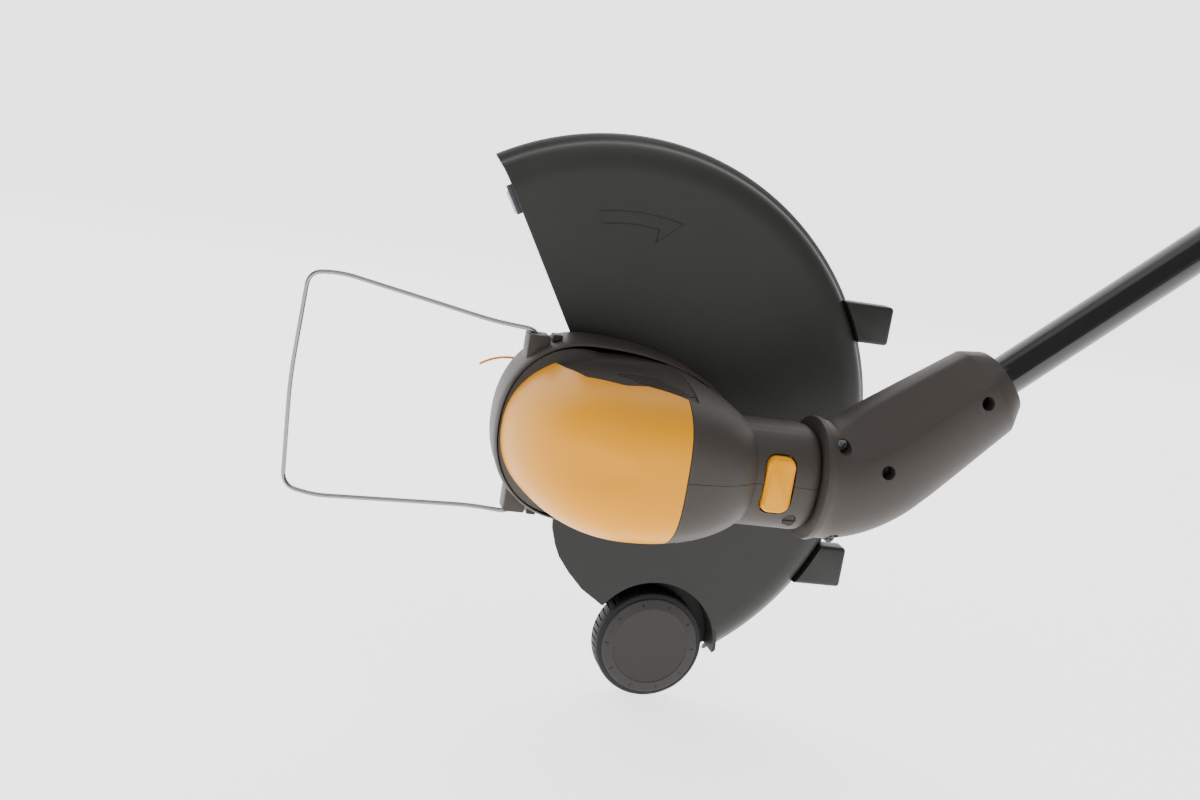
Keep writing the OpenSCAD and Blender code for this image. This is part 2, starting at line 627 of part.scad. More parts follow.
// ---- front handle ----
module front_mount() color("#2a2a2b") in_boom() difference() {
    union() {
        along_x(front_s - 17) cylinder(r = 22, h = 34);
        translate([front_s - 11, -9, 0]) cube([22, 18, front_z]);
        translate([front_s, -9, front_z]) rotate([-90, 0, 0]) cylinder(r = 11, h = 18);
    }
    along_x(front_s - 20) cylinder(r = upper_d / 2 + 0.02, h = 40);
    translate([front_s, 0, front_z]) along_y(-20) cylinder(r = 3 + eps, h = 40);
}
module front_handle() color("#2b2b2c") in_boom() translate([front_s, 0, front_z]) difference() {
    union() {
        for (s = [-1, 1]) {
            translate([0, s > 0 ? 9 + gap : -9 - gap, 0]) rotate([-90 * s, 0, 0])
                cylinder(r = 12, h = 7);
            translate([0, s * 16, 0]) rotate([-90 * s, 0, 0]) cylinder(r = 9, h = loop_r - 16);
            translate([0, s * loop_r, 0]) sphere(r = 9);
            translate([0, s * loop_r, 0]) cylinder(r1 = 9, r2 = loop_bar / 2, h = 34);
        }
        translate([0, 0, 34]) rotate([0, 0, 90]) rotate([90, 0, 0]) rotate_extrude(angle = 180)
            translate([loop_r, 0]) circle(r = loop_bar / 2);
    }
    along_y(-30) cylinder(r = 3 + fit, h = loop_r + 60);
    along_y(-loop_r - 20) cylinder(r = 6.2, h = loop_r + 20 - 14);
}
module front_bolt() color("#a9acaf") in_boom() translate([front_s, 0, front_z]) {
    along_y(-14.2) cylinder(r = 3, h = loop_r + 14 + 20);
    along_y(-17.7) cylinder(r = 5.6, h = 3.6);
}
module front_knob() color("#1f1f20") in_boom() translate([front_s, 0, front_z]) difference() {
    along_y(loop_r + 10.8) cylinder(r = 14, h = 14);
    for (a = [0 : 60 : 300]) rotate([0, a, 0]) translate([16, 0, 0]) along_y(loop_r + 5)
        cylinder(r = 5, h = 24);
    along_y(loop_r) cylinder(r = 3 + fit, h = 20.2);
}

// ---- rear handle: two shells round the grip, the trigger and the switch ----
module handle_plan(d) {
    offset(delta = -d) difference() {
        hull() {
            translate([handle_s - 30, 0]) circle(r = 21, $fn = soft_fn);
            translate([handle_s + 20, -20]) circle(r = 41, $fn = soft_fn);
            translate([bulb_s + 22, -24]) circle(r = 40, $fn = soft_fn);
            translate([bulb_s + 52, -34]) circle(r = 24, $fn = soft_fn);
        }
        translate([-d, 0]) finger_gap(0);
    }
}
module finger_gap(d) offset(delta = -d) hull() {
    translate([grip_s + 10, -32]) circle(r = 15, $fn = soft_fn);
    translate([bulb_s - 14, -33]) circle(r = 15, $fn = soft_fn);
}
module side_slab(half, plan_inset) rotate([90, 0, 0])
    translate([0, 0, -half]) linear_extrude(2 * half) handle_plan(plan_inset);
module handle_body() difference() {
    side_slab(19, 0);
    side_slab(16, 3);
    along_x(handle_s - 60) cylinder(r = upper_d / 2 + 0.02, h = 60);
    // trigger slot under the grip, lock button's window on top, inlet at the end
    translate([grip_s - 1, -5.3, -26]) cube([46, 10.6, 34]);
    translate([grip_s + 18, 0, 8]) cylinder(r = 6 + gap, h = 30);
    translate([0, 0, -34]) along_x(bulb_s + 60) cylinder(r = 11.5, h = 40);
    // hanging hole through the rear bulb
    translate([bulb_s + 22, 0, -4]) along_y(-30) cylinder(r = 5, h = 60);
}
module handle_boss() {
    difference() {
        translate([bulb_s + 22, 0, -4]) along_y(-19) cylinder(r = 8, h = 38);
        translate([bulb_s + 22, 0, -4]) along_y(-30) cylinder(r = 5, h = 60);
    }
    // pivot of the trigger, and walls that carry it
    translate([grip_s + 36, 0, -8]) along_y(-18) cylinder(r = 1.6, h = 36);
}
module handle_half(side) in_boom() intersection() {
    union() {
        handle_body();
        handle_boss();
    }
    translate([-big, side > 0 ? eps : -big - eps, -big / 2]) cube([4 * big, big, big]);
}
module handle_left() color("#4b4643") handle_half(-1);
module handle_right() color("#4b4643") handle_half(1);
module handle_screws() color("#6f7174") in_boom()
    for (p = [[handle_s - 34, -17], [handle_s + 22, -48], [bulb_s + 14, -52], [bulb_s + 46, -16]])
        translate([p[0], 0, p[1]]) along_y(-19.8) cylinder(r = 3.4, h = 0.8);
module grip_pad() color("#1d1d1e") in_boom() translate([grip_s + 34, 0, 0]) difference() {
    translate([0, -20.4, grip_top - 0.05]) cube([60, 40.8, 1.6]);
    for (k = [0 : 6]) translate([6 + 7.5 * k, -30, grip_top + 1.1]) cube([3, 60, 2]);
}
module trigger() color("#e8ac16") in_boom() difference() {
    union() {
        translate([grip_s + 3, -5, -26]) cube([38, 10, 18]);
        translate([grip_s + 36, 0, -8]) along_y(-5) cylinder(r = 5, h = 10);
    }
    translate([grip_s + 36, 0, -8]) along_y(-20) cylinder(r = 1.6 + fit, h = 40);
}
module lock_button() color("#e8ac16") in_boom() translate([grip_s + 18, 0, 0]) {
    translate([0, 0, 12.6]) cylinder(r = 6, h = 14);
    translate([0, 0, 11]) cylinder(r = 8.5, h = 1.6);
}
module switch_box() color("#1a1a1a") in_boom() translate([handle_s + 14, -8, -12]) cube([20, 16, 18]);
module power_inlet() color("#151515") in_boom() translate([bulb_s + 46, 0, -34]) along_x(0) {
    difference() {
        cylinder(r = 11.2, h = 30);
        translate([0, 0, 8]) cylinder(r = 9.2, h = 30);
    }
    for (y = [-5, 5]) translate([0, y, 6]) cylinder(r = 2, h = 20);
}
module strap_eye() color("#a9acaf") in_boom() translate([upper_start + 150, 0, 0]) {
    along_x(-7) ring(upper_d / 2 + 3, upper_d / 2 + 0.02, 14);
    translate([0, 0, upper_d / 2 + 11]) along_y(-2) ring(10, 6, 4);
}

base_ring();
base_screws();
guard();
guard_screws();
line_cutter();
cutter_screws();
wheel_axle();
wheel_hub();
wheel_tyre();
wheel_cap();
plant_guard();
guard_clips();
housing_left();
housing_right();
housing_screws();
top_cover();
neck_peg();
motor_bracket();
lower_bearing();
upper_bearing();
stator();
field_coils();
armature();
commutator();
fan();
brush_holders();
brushes();
motor_lead();
spool_housing();
line_eyelets();
spool();
line_winding();
cutting_line();
spool_cap();
bump_knob();
bump_spring();
release_button();
button_spring();
elbow_left();
elbow_right();
elbow_screws();
lower_tube();
coiled_lead();
upper_tube();
clamp_collar();
clamp_lever();
lever_pin();
front_mount();
front_handle();
front_bolt();
front_knob();
handle_left();
handle_right();
handle_screws();
grip_pad();
trigger();
lock_button();
switch_box();
power_inlet();
strap_eye();
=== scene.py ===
import json
import math

import bmesh
import bpy
from mathutils import Matrix, Vector


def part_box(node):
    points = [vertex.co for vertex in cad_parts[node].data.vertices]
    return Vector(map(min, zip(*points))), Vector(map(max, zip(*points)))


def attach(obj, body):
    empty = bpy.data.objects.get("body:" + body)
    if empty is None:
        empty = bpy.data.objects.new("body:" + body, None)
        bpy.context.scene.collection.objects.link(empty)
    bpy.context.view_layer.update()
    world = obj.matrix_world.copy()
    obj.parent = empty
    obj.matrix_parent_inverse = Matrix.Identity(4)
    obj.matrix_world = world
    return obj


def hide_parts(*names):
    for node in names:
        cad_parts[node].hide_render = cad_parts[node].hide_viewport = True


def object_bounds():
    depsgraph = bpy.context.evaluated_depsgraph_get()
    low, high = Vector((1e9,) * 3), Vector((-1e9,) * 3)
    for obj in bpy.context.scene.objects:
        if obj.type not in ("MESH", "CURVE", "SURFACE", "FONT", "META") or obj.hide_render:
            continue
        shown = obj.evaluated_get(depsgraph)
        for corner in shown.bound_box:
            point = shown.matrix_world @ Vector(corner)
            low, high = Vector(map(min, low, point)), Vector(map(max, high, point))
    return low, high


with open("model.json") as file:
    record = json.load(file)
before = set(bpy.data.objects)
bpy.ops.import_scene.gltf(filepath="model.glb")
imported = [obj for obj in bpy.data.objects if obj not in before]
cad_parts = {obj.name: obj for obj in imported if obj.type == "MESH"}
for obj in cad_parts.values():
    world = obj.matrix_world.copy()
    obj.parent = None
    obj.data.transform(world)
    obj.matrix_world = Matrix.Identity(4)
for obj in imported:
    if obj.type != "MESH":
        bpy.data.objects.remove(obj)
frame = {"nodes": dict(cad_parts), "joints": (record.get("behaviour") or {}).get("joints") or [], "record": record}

bl_info = {
    "name": "String trimmer",
    "version": (1, 0, 0),
    "blender": (4, 5, 0),
    "location": "View3D > Sidebar > Trimmer",
    "description": "Builds the looks of a string trimmer round its packed frame",
    "category": "Object",
}

MM = 0.001
CAD_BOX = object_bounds()
JOINTS = {joint["name"]: joint for joint in frame["joints"]}


def limits(node):
    """Lowest and highest corner of a CAD node, in millimetres."""
    low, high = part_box(node)
    return Vector(low) / MM, Vector(high) / MM


def joint_at(name):
    """A joint's place, in millimetres."""
    return Vector(JOINTS[name]["pos_m"]) / MM


# The head is worked in its own frame, standing on the bump knob with the motor up:
# head x, y, z are the row's x, z and -y. The boom's frame runs up the tube from the bend.
BEND = joint_at("head_swivel")
BOOM_AXIS = -Vector(JOINTS["boom_telescope"]["axis"])
BOOM_ANGLE = math.atan2(BOOM_AXIS.z, BOOM_AXIS.x)
NECK_Z = -BEND.y
TO_METRES = Matrix.Scale(MM, 4)
HEAD = TO_METRES @ Matrix.Rotation(math.pi / 2, 4, "X")
BOOM = TO_METRES @ Matrix.Translation(BEND) @ Matrix.Rotation(-BOOM_ANGLE, 4, "Y")
GUARD_LOW, GUARD_HIGH = limits("guard")
RING_LOW, RING_HIGH = limits("base_ring")
COVER_LOW, COVER_HIGH = limits("top_cover")
WHEEL = joint_at("wheel_spin")
PIVOT = joint_at("plant_guard_fold")
RIM_Z = -GUARD_HIGH.y + 3
TOP_Z = -GUARD_LOW.y
RING_TOP = -RING_LOW.y
CROWN_Z = -COVER_LOW.y
SEAM_X = COVER_HIGH.x
TYRE_LOW, TYRE_HIGH = limits("wheel_tyre")
TUBE_LOW, TUBE_HIGH = limits("lower_tube")
WHEEL_R = (TYRE_HIGH.x - TYRE_LOW.x) / 2
WHEEL_TOP = -TYRE_LOW.y
TUBE_R = (TUBE_HIGH.y - TUBE_LOW.y) / 2
TUBE_START = 38
TUBE_LENGTH = 500
BUTTON_X = sum(v.x for v in limits("release_button")) / 2
LUG_OUT = limits("plant_guard")[1].z - 16.6

# The base ring's plan and the cover's dome: reach to the front and the rear of their middles
RING_X = -25
RING_FRONT = 57
RING_REAR = 105
DOME_X = -5
DOME_FRONT = 74
DOME_REAR = 77
DOME_OVERHANG = 17
DOME_HALF = 54
DOME_FOOT = RING_TOP - 30
# The swivel: the neck, the spigot on its end, and the flange that the elbow holds
NECK_R = 33
SPIGOT_R = 24.95
FLANGE_R = 27.9
LINE_BEARING = 150

CAMERA_PLACE = Vector((-0.2249, -0.9530, 0.1818))
CAMERA_ANGLES = (-13.6, 10.2, 9.4)
CAMERA_LENS = 42.5


def linear(code):
    """Linear RGBA from an sRGB hex code."""
    parts = [int(code[i:i + 2], 16) / 255 for i in (1, 3, 5)]
    return tuple(c / 12.92 if c < 0.04045 else ((c + 0.055) / 1.055) ** 2.4 for c in parts) + (1.0,)


def length(name, about, millimetres):
    return bpy.props.FloatProperty(name=name, description=about, default=millimetres * MM,
                                   min=0, unit="LENGTH")


def tint(name, about, code):
    return bpy.props.FloatVectorProperty(name=name, description=about, default=linear(code),
                                         size=4, min=0, max=1, subtype="COLOR")


class TrimmerSizes(bpy.types.PropertyGroup):
    """Sizes that change the look; the frame fixes the rest."""
    wall: length("Guard wall", "Thickness of the guard's moulding", 2.6)
    shoulder: length("Guard shoulder", "Radius of the guard's rounded shoulder", 19)
    edge: length("Moulded edge", "Rounding left on moulded edges", 0.5)
    seam: length("Shut line", "Width of the shadow line between two mouldings", 0.5)
    wire: length("Wire", "Diameter of the plant guard's wire", 3.0)
    line: length("Line", "Diameter of the cutting line", 1.6)
    grain: length("Grain", "Spacing of the spark-eroded grain on the casings", 0.9)


class TrimmerColours(bpy.types.PropertyGroup):
    """Colours of the visible finishes."""
    cover: tint("Cover", "Motor cover, buttons and trigger", "#DE9400")
    casing: tint("Casing", "Motor housing, elbow and handles", "#3B3632")
    guard: tint("Guard", "Dished guard", "#2B2B29")
    hub: tint("Hub", "Edging wheel's cap", "#353432")
    black: tint("Black", "Small black mouldings", "#232324")
    tyre: tint("Tyre", "Tyre of the edging wheel", "#1F1F20")
    tube: tint("Tube", "Coated boom tubes", "#060607")
    line: tint("Line", "Cutting line", "#F08A2A")
    floor: tint("Floor", "Floor and backdrop", "#FFFFFF")


def sizes():
    return bpy.context.scene.trimmer_sizes


def colours():
    return bpy.context.scene.trimmer_colours


# ---------------------------------------------------------------- materials

def add(tree, kind, settings=None, links=None):
    """Adds one node, sets its fields and sockets, and links its inputs."""
    made = tree.nodes.new(kind)
    for key, value in (settings or {}).items():
        if key in made.inputs:
            made.inputs[key].default_value = value
        else:
            setattr(made, key, value)
    for key, source in (links or {}).items():
        tree.links.new(source, made.inputs[key])
    return made


def start_material(name):
    """The material of that name and its empty tree, or no tree where it is made already."""
    material = bpy.data.materials.get(name)
    if material:
        return material, None
    material = bpy.data.materials.new(name)
    material.use_nodes = True
    material.node_tree.nodes.clear()
    return material, material.node_tree


def finish_material(tree, settings, links):
    shader = add(tree, "ShaderNodeBsdfPrincipled", settings, links)
    add(tree, "ShaderNodeOutputMaterial", {}, {"Surface": shader.outputs[0]})


def shade(colour, factor):
    return tuple(min(1.0, c * factor) for c in colour[:3]) + (1.0,)


def moulded(name, colour, roughness, grain, depth, spread=0.12, coat=0.0, gloss=0.32):
    """Injection-moulded plastic: an even colour, clouded a little, over a fine eroded grain."""
    material, tree = start_material(name)
    if tree is None:
        return material
    place = add(tree, "ShaderNodeTexCoord").outputs["Object"]
    cloud = add(tree, "ShaderNodeTexNoise", {"Scale": 1 / (45 * MM), "Detail": 4.0},
                {"Vector": place})
    body = add(tree, "ShaderNodeMix", {"data_type": "RGBA"}, {"Factor": cloud.outputs[0]})
    body.inputs[6].default_value = shade(colour, 1 - spread)
    body.inputs[7].default_value = shade(colour, 1 + spread)
    fine = add(tree, "ShaderNodeTexNoise", {"Scale": 1 / grain, "Detail": 3.0}, {"Vector": place})
    wear = add(tree, "ShaderNodeMapRange", {"To Min": roughness - 0.05, "To Max": roughness + 0.07},
               {"Value": cloud.outputs[0]})
    bump = add(tree, "ShaderNodeBump", {"Strength": 0.35, "Distance": depth},
               {"Height": fine.outputs[0]})
    finish_material(tree, {"IOR": 1.42, "Specular IOR Level": gloss,
                           "Coat Weight": coat, "Coat Roughness": 0.12},
                    {"Base Color": body.outputs[2], "Roughness": wear.outputs[0],
                     "Normal": bump.outputs[0]})
    return material


def metal(name, colour, roughness, scratch, stretch=(1, 1, 1), metallic=1.0, clear=0.0):
    """Drawn, plated or coated metal: fine marks that run with the working of it."""
    material, tree = start_material(name)
    if tree is None:
        return material
    place = add(tree, "ShaderNodeTexCoord").outputs["Object"]
    turned = add(tree, "ShaderNodeMapping", {"Scale": stretch}, {"Vector": place})
    marks = add(tree, "ShaderNodeTexNoise", {"Scale": 1 / scratch, "Detail": 5.0},
                {"Vector": turned.outputs[0]})
    body = add(tree, "ShaderNodeMix", {"data_type": "RGBA"}, {"Factor": marks.outputs[0]})
    body.inputs[6].default_value = shade(colour, 0.86)
    body.inputs[7].default_value = shade(colour, 1.08)
    wear = add(tree, "ShaderNodeMapRange",
               {"To Min": max(0.03, roughness - 0.06), "To Max": roughness + 0.08},
               {"Value": marks.outputs[0]})
    bump = add(tree, "ShaderNodeBump", {"Strength": 0.12, "Distance": 0.05 * MM},
               {"Height": marks.outputs[0]})
    finish_material(tree, {"Metallic": metallic, "Coat Weight": clear, "Coat Roughness": 0.05},
                    {"Base Color": body.outputs[2], "Roughness": wear.outputs[0],
                     "Normal": bump.outputs[0]})
    return material


def finishes():
    """Every finish by the record's slot name."""
    c = colours()
    grain = sizes().grain
    return {
        # spark-eroded polypropylene: soft wide highlights
        "guard_plastic": moulded("moulded_polypropylene", c.guard, 0.46, grain, 0.06 * MM),
        # glass-filled nylon casings: drier and browner
        "dark_plastic": moulded("moulded_nylon", c.casing, 0.5, grain * 0.8, 0.07 * MM),
        # ABS with a polished mould: clean highlights
        "yellow_plastic": moulded("glossy_abs", c.cover, 0.36, grain * 4, 0.004 * MM, 0.02, 0.0, 0.24),
        "black_plastic": moulded("black_nylon", c.black, 0.45, grain * 0.7, 0.05 * MM),
        "hub_plastic": moulded("moulded_hub_cap", c.hub, 0.5, grain * 0.8, 0.06 * MM),
        "tyre_rubber": moulded("tyre_pvc", c.tyre, 0.58, grain * 0.6, 0.05 * MM),
        "grip_rubber": moulded("soft_grip_rubber", c.black, 0.78, grain * 0.5, 0.08 * MM),
        "cable_rubber": moulded("cable_rubber", c.black, 0.6, grain, 0.04 * MM),
        "orange_line": moulded("nylon_line", c.line, 0.32, grain * 2, 0.02 * MM, 0.08),
        "carbon": moulded("pressed_carbon", linear("#1E1E1E"), 0.7, grain, 0.06 * MM),
        # powder-coated aluminium: black gloss with a clear top
        "black_tube": metal("coated_aluminium", c.tube, 0.3, 6 * MM, (1, 1, 1), 0.0, 0.25),
        "bright_wire": metal("drawn_zinc_wire", linear("#7F8184"), 0.18, 3 * MM),
        "steel": metal("zinc_plated_steel", linear("#A9ACAF"), 0.33, 2 * MM),
        # blued steel for the line cutter; on the elbow's screws this dark colour is painted shade, standing in for
        # the shadow in their wells
        "dark_steel": metal("blued_steel_and_screw_well_shade", linear("#4B4D50"), 0.36, 2 * MM),
        "core_steel": metal("laminated_steel", linear("#7C7E81"), 0.42, 1 * MM, (1, 12, 1)),
        "copper": metal("enamelled_copper", linear("#B8703C"), 0.3, 1 * MM, (1, 8, 1)),
    }


# ---------------------------------------------------------------- mesh tools

def place_ring(verts, points):
    for vert, point in zip(verts, points):
        vert.co = point


def loft(rings, caps=True, joined=False):
    """Skins rings of equally many points, each extruded from the one before."""
    bm = bmesh.new()
    bmesh.ops.create_circle(bm, cap_ends=False, segments=len(rings[0]), radius=1)
    bm.verts.ensure_lookup_table()
    verts = list(bm.verts)
    edges = list(bm.edges)
    place_ring(verts, rings[0])
    first = edges
    for points in rings[1:]:
        index = {vert.co.copy().freeze(): i for i, vert in enumerate(verts)}
        made = bmesh.ops.extrude_edge_only(bm, edges=edges)["geom"]
        fresh = [None] * len(verts)
        for vert in made:
            if isinstance(vert, bmesh.types.BMVert):
                fresh[index[vert.co.copy().freeze()]] = vert
        edges = [e for e in made if isinstance(e, bmesh.types.BMEdge)]
        verts = fresh
        place_ring(verts, points)
    if joined:
        bmesh.ops.bridge_loops(bm, edges=first + edges)
    elif caps:
        bmesh.ops.contextual_create(bm, geom=first)
        bmesh.ops.contextual_create(bm, geom=edges)
    bmesh.ops.recalc_face_normals(bm, faces=bm.faces)
    return bm


def revolve(profile, steps, centre=(0, 0, 0)):
    """Spins a closed outline of (radius, height) points round the spindle's direction."""
    bm = bmesh.new()
    verts = [bm.verts.new((r, 0, z)) for r, z in profile]
    edges = [bm.edges.new((a, b)) for a, b in zip(verts, verts[1:] + verts[:1])]
    bmesh.ops.spin(bm, geom=verts + edges, cent=(0, 0, 0), axis=(0, 0, 1), angle=2 * math.pi,
                   steps=steps, use_merge=True)
    bmesh.ops.remove_doubles(bm, verts=bm.verts, dist=1e-5)
    bmesh.ops.recalc_face_normals(bm, faces=bm.faces)
    bmesh.ops.translate(bm, vec=centre, verts=bm.verts)
    return bm


def prism(outline, low, high):
    """A straight solid on an outline of (x, y) points, from one height to another."""
    return loft([[Vector((x, y, z)) for x, y in outline] for z in (low, high)])


def block(low, high):
    bm = bmesh.new()
    low, high = Vector(low), Vector(high)
    bmesh.ops.create_cube(bm, size=1)
    bmesh.ops.scale(bm, vec=high - low, verts=bm.verts)
    bmesh.ops.translate(bm, vec=(low + high) / 2, verts=bm.verts)
    return bm


def drum(start, end, radius, segments=48, end_radius=None):
    """A straight or tapered round bar between two points."""
    start, end = Vector(start), Vector(end)
    run = end - start
    bm = bmesh.new()
    bmesh.ops.create_cone(bm, cap_ends=True, segments=segments, radius1=radius,
                          radius2=radius if end_radius is None else end_radius, depth=run.length)
    turn = run.to_track_quat("Z", "Y").to_matrix().to_4x4()
    bm.transform(Matrix.Translation((start + end) / 2) @ turn)
    return bm


def rounded(points, radius, steps=6):
    """The same path with each inner corner turned into an arc."""
    path = [Vector(points[0])]
    for before, corner, after in zip(points, points[1:], points[2:]):
        before, corner, after = Vector(before), Vector(corner), Vector(after)
        a = (before - corner).normalized()
        b = (after - corner).normalized()
        reach = min(radius, 0.45 * (before - corner).length, 0.45 * (after - corner).length)
        for i in range(steps + 1):
            t = i / steps
            path.append((corner + a * reach) * (1 - t) ** 2 + corner * 2 * t * (1 - t)
                        + (corner + b * reach) * t ** 2)
    path.append(Vector(points[-1]))
    return path


def sweep(path, radius, sides=20, closed=False):
    """A round bar along a path of points."""
    rings = []
    up = Vector((0.13, 0.29, 0.95)).normalized()
    count = len(path)
    for i, point in enumerate(path):
        ahead = path[(i + 1) % count] if closed else path[min(i + 1, count - 1)]
        behind = path[i - 1] if closed else path[max(i - 1, 0)]
        run = (ahead - behind).normalized()
        side = run.cross(up).normalized()
        up = side.cross(run).normalized()
        rings.append([point + (side * math.cos(t) + up * math.sin(t)) * radius
                      for t in (2 * math.pi * k / sides for k in range(sides))])
    return loft(rings, joined=closed)


def join(*meshes):
    """Puts several bmeshes in one, each still its own closed shell."""
    whole = meshes[0]
    for bm in meshes[1:]:
        spare = bpy.data.meshes.new("spare")
        bm.to_mesh(spare)
        whole.from_mesh(spare)
        bm.free()
        bpy.data.meshes.remove(spare)
    return whole


def combine(target, cutter, how="DIFFERENCE"):
    """The exact difference, union or intersection of two solids."""
    pair = []
    for bm in (target, cutter):
        mesh = bpy.data.meshes.new("spare")
        bm.to_mesh(mesh)
        bm.free()
        obj = bpy.data.objects.new("spare", mesh)
        bpy.context.scene.collection.objects.link(obj)
        pair.append(obj)
    step = pair[0].modifiers.new("cut", "BOOLEAN")
    step.object = pair[1]
    step.operation = how
    step.solver = "EXACT"
    bpy.context.view_layer.update()
    result = bmesh.new()
    result.from_object(pair[0], bpy.context.evaluated_depsgraph_get())
    for obj in pair:
        mesh = obj.data
        bpy.data.objects.remove(obj)
        bpy.data.meshes.remove(mesh)
    bmesh.ops.remove_doubles(result, verts=result.verts, dist=1e-4)
    return result


def show(name, bm, place, body, slot, stands_for=(), edge=0.0, angle=35, segments=2):
    """Makes the finished piece: its place in its mesh, its finish, and the body it rides on."""
    bm.transform(place)
    mesh = bpy.data.meshes.new(name)
    bm.to_mesh(mesh)
    bm.free()
    mesh.polygons.foreach_set("use_smooth", [True] * len(mesh.polygons))
    mesh.set_sharp_from_angle(angle=math.radians(angle))
    piece = bpy.data.objects.new(name, mesh)
    bpy.context.scene.collection.objects.link(piece)
    if edge:
        step = piece.modifiers.new("edges", "BEVEL")
        step.width = edge
        step.segments = segments
        step.limit_method = "ANGLE"
        step.angle_limit = math.radians(angle)
        step.use_clamp_overlap = True
        step.harden_normals = True
    mesh.materials.append(finishes()[slot])
    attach(piece, body)
    if stands_for:
        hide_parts(*stands_for)
    return piece


def softened(node, body, slot, edge=0.4, angle=30, trim=0.0):
    """A CAD piece with its edges eased: its triangles merged, flats made whole, edges rounded.
    Trim takes a little off a piece that another turns round."""
    bm = bmesh.new()
    bm.from_mesh(frame["nodes"][node].data)
    bmesh.ops.remove_doubles(bm, verts=bm.verts, dist=2e-6)
    bm.normal_update()
    for vert in bm.verts:
        vert.co -= vert.normal * trim * MM
    bmesh.ops.dissolve_limit(bm, angle_limit=math.radians(1), verts=bm.verts, edges=bm.edges)
    return show(node + "_eased", bm, Matrix.Identity(4), body, slot, (node,), edge * MM, angle)


def polar(radius, degrees, height):
    t = math.radians(degrees)
    return Vector((radius * math.cos(t), radius * math.sin(t), height))


def power(value, exponent):
    return math.copysign(abs(value) ** exponent, value)


def dome_ring(v, inset, count=128):
    """One level of the motor cover's dome, v from 0 at its foot to 1 near the crown."""
    tilt = v * math.pi / 2
    ring = []
    for i in range(count):
        u = 2 * math.pi * i / count
        c, s = math.cos(u), math.sin(u)
        flat = 2 / (2.3 + 1.2 * s * s + (0.7 * c * c if c > 0 else 0))
        across = math.cos(tilt) ** flat
        rise = math.sin(tilt) ** flat
        rear = DOME_REAR + DOME_OVERHANG * min(1.0, max(0.0, (rise - 0.3) / 0.45))
        ring.append(Vector((DOME_X + ((DOME_FRONT if c < 0 else rear) - inset) * across * power(c, 0.91),
                            (DOME_HALF - inset) * across * power(s, 0.91),
                            DOME_FOOT + (CROWN_Z - inset - DOME_FOOT) * rise)))
    return ring


def dome_half(x, z):
    """Half width of the dome at a place along it and a height."""
    s = 1.0
    for _ in range(6):
        flat = 2 / (2.3 + 1.2 * s * s)
        rise = min(1.0, max(0.0, (z - DOME_FOOT) / (CROWN_Z - DOME_FOOT)))
        across = max(0.0, 1 - rise ** (2 / flat)) ** (flat / 2)
        reach = (DOME_FRONT if x < DOME_X else DOME_REAR) * max(across, 1e-3)
        c = min(1.0, abs(x - DOME_X) / reach) ** 1.1
        s = math.sqrt(max(0.0, 1 - c * c))
    return DOME_HALF * across * s ** 0.91


def dome(inset, levels=44):
    rings = [dome_ring(1 - (1 - k / levels) ** 1.4, inset) for k in range(levels)]
    return loft(rings)


def cover_outline(grow):
    """The cover's side view: beak in front, crown behind, up to the seam."""
    return [(-200, RING_TOP - 4 - grow), (-52 + grow, RING_TOP - 4 - grow),
            (-48 + grow, RING_TOP + 20), (-40 + grow, RING_TOP + 45 - grow),
            (-20, RING_TOP + 64 - grow), (SEAM_X + grow, RING_TOP + 76 - grow),
            (SEAM_X + grow, 300), (-200, 300)]


def ridge(x):
    """Height of the crease along the housing's flank, above the scooped side."""
    line = [(-56, -8), (-52, -4), (-48, 20), (-40, 45), (-20, 64), (SEAM_X, 76)]
    for (x0, z0), (x1, z1) in zip(line, line[1:]):
        if x <= x1:
            t = max(0.0, (x - x0) / (x1 - x0))
            return RING_TOP + z0 + (z1 - z0) * t
    return RING_TOP + line[-1][1]


def scoop(side, deep=8, lift=0.0):
    """The hollow along a flank under the crease; lift carries it a little way up the cover."""
    foot = RING_TOP - 4
    rings = []
    for k in range(37):
        x = -50 + 73 * k / 36
        swell = math.sin(math.pi * k / 36) ** 0.45
        rise = lift * max(0.0, math.sin(math.pi * min(1.0, max(0.0, (x + 50) / 44))))
        top = ridge(x) + rise + 0.02
        ring = []
        for i in range(15):
            t = i / 14
            z = foot + (top - foot) * t
            y = dome_half(x, z) + 0.25 - deep * swell * math.sin(math.pi * t ** 0.9) ** 0.7
            ring.append(Vector((x, side * y, z)))
        ring += [Vector((x, side * 80, top + 0.5)), Vector((x, side * 80, foot))]
        rings.append(ring)
    return loft(rings)


def side_prism(outline, half=120):
    bm = prism(outline, -half, half)
    bm.transform(Matrix.Rotation(math.pi / 2, 4, "X"))
    return bm


def egg(inset, height, count=160):
    """The base ring's plan: round in front, long to the rear, drawn in a little towards its foot."""
    front = RING_FRONT - 0.07 * (RING_TOP - height)
    ring = []
    half = (RING_HIGH.z - RING_LOW.z) / 2 - inset
    for i in range(count):
        u = 2 * math.pi * i / count
        c, s = math.cos(u), math.sin(u)
        ring.append(Vector((RING_X + ((front if c < 0 else RING_REAR) - inset) * power(c, 0.91),
                            half * power(s, 0.91), height)))
    return ring


# ---------------------------------------------------------------- pieces

class TrimmerOperator:
    bl_options = {"REGISTER", "UNDO"}

    def execute(self, context):
        self.build()
        return {"FINISHED"}


class BuildFinishes(TrimmerOperator, bpy.types.Operator):
    """Gives every CAD piece the finish of its slot"""
    bl_idname = "trimmer.finishes"
    bl_label = "Finishes"

    def build(self):
        made = finishes()
        for part in frame["record"]["subparts"]:
            mesh = frame["nodes"][part["node"]].data
            mesh.materials.clear()
            mesh.materials.append(made[part["material_slot"]])


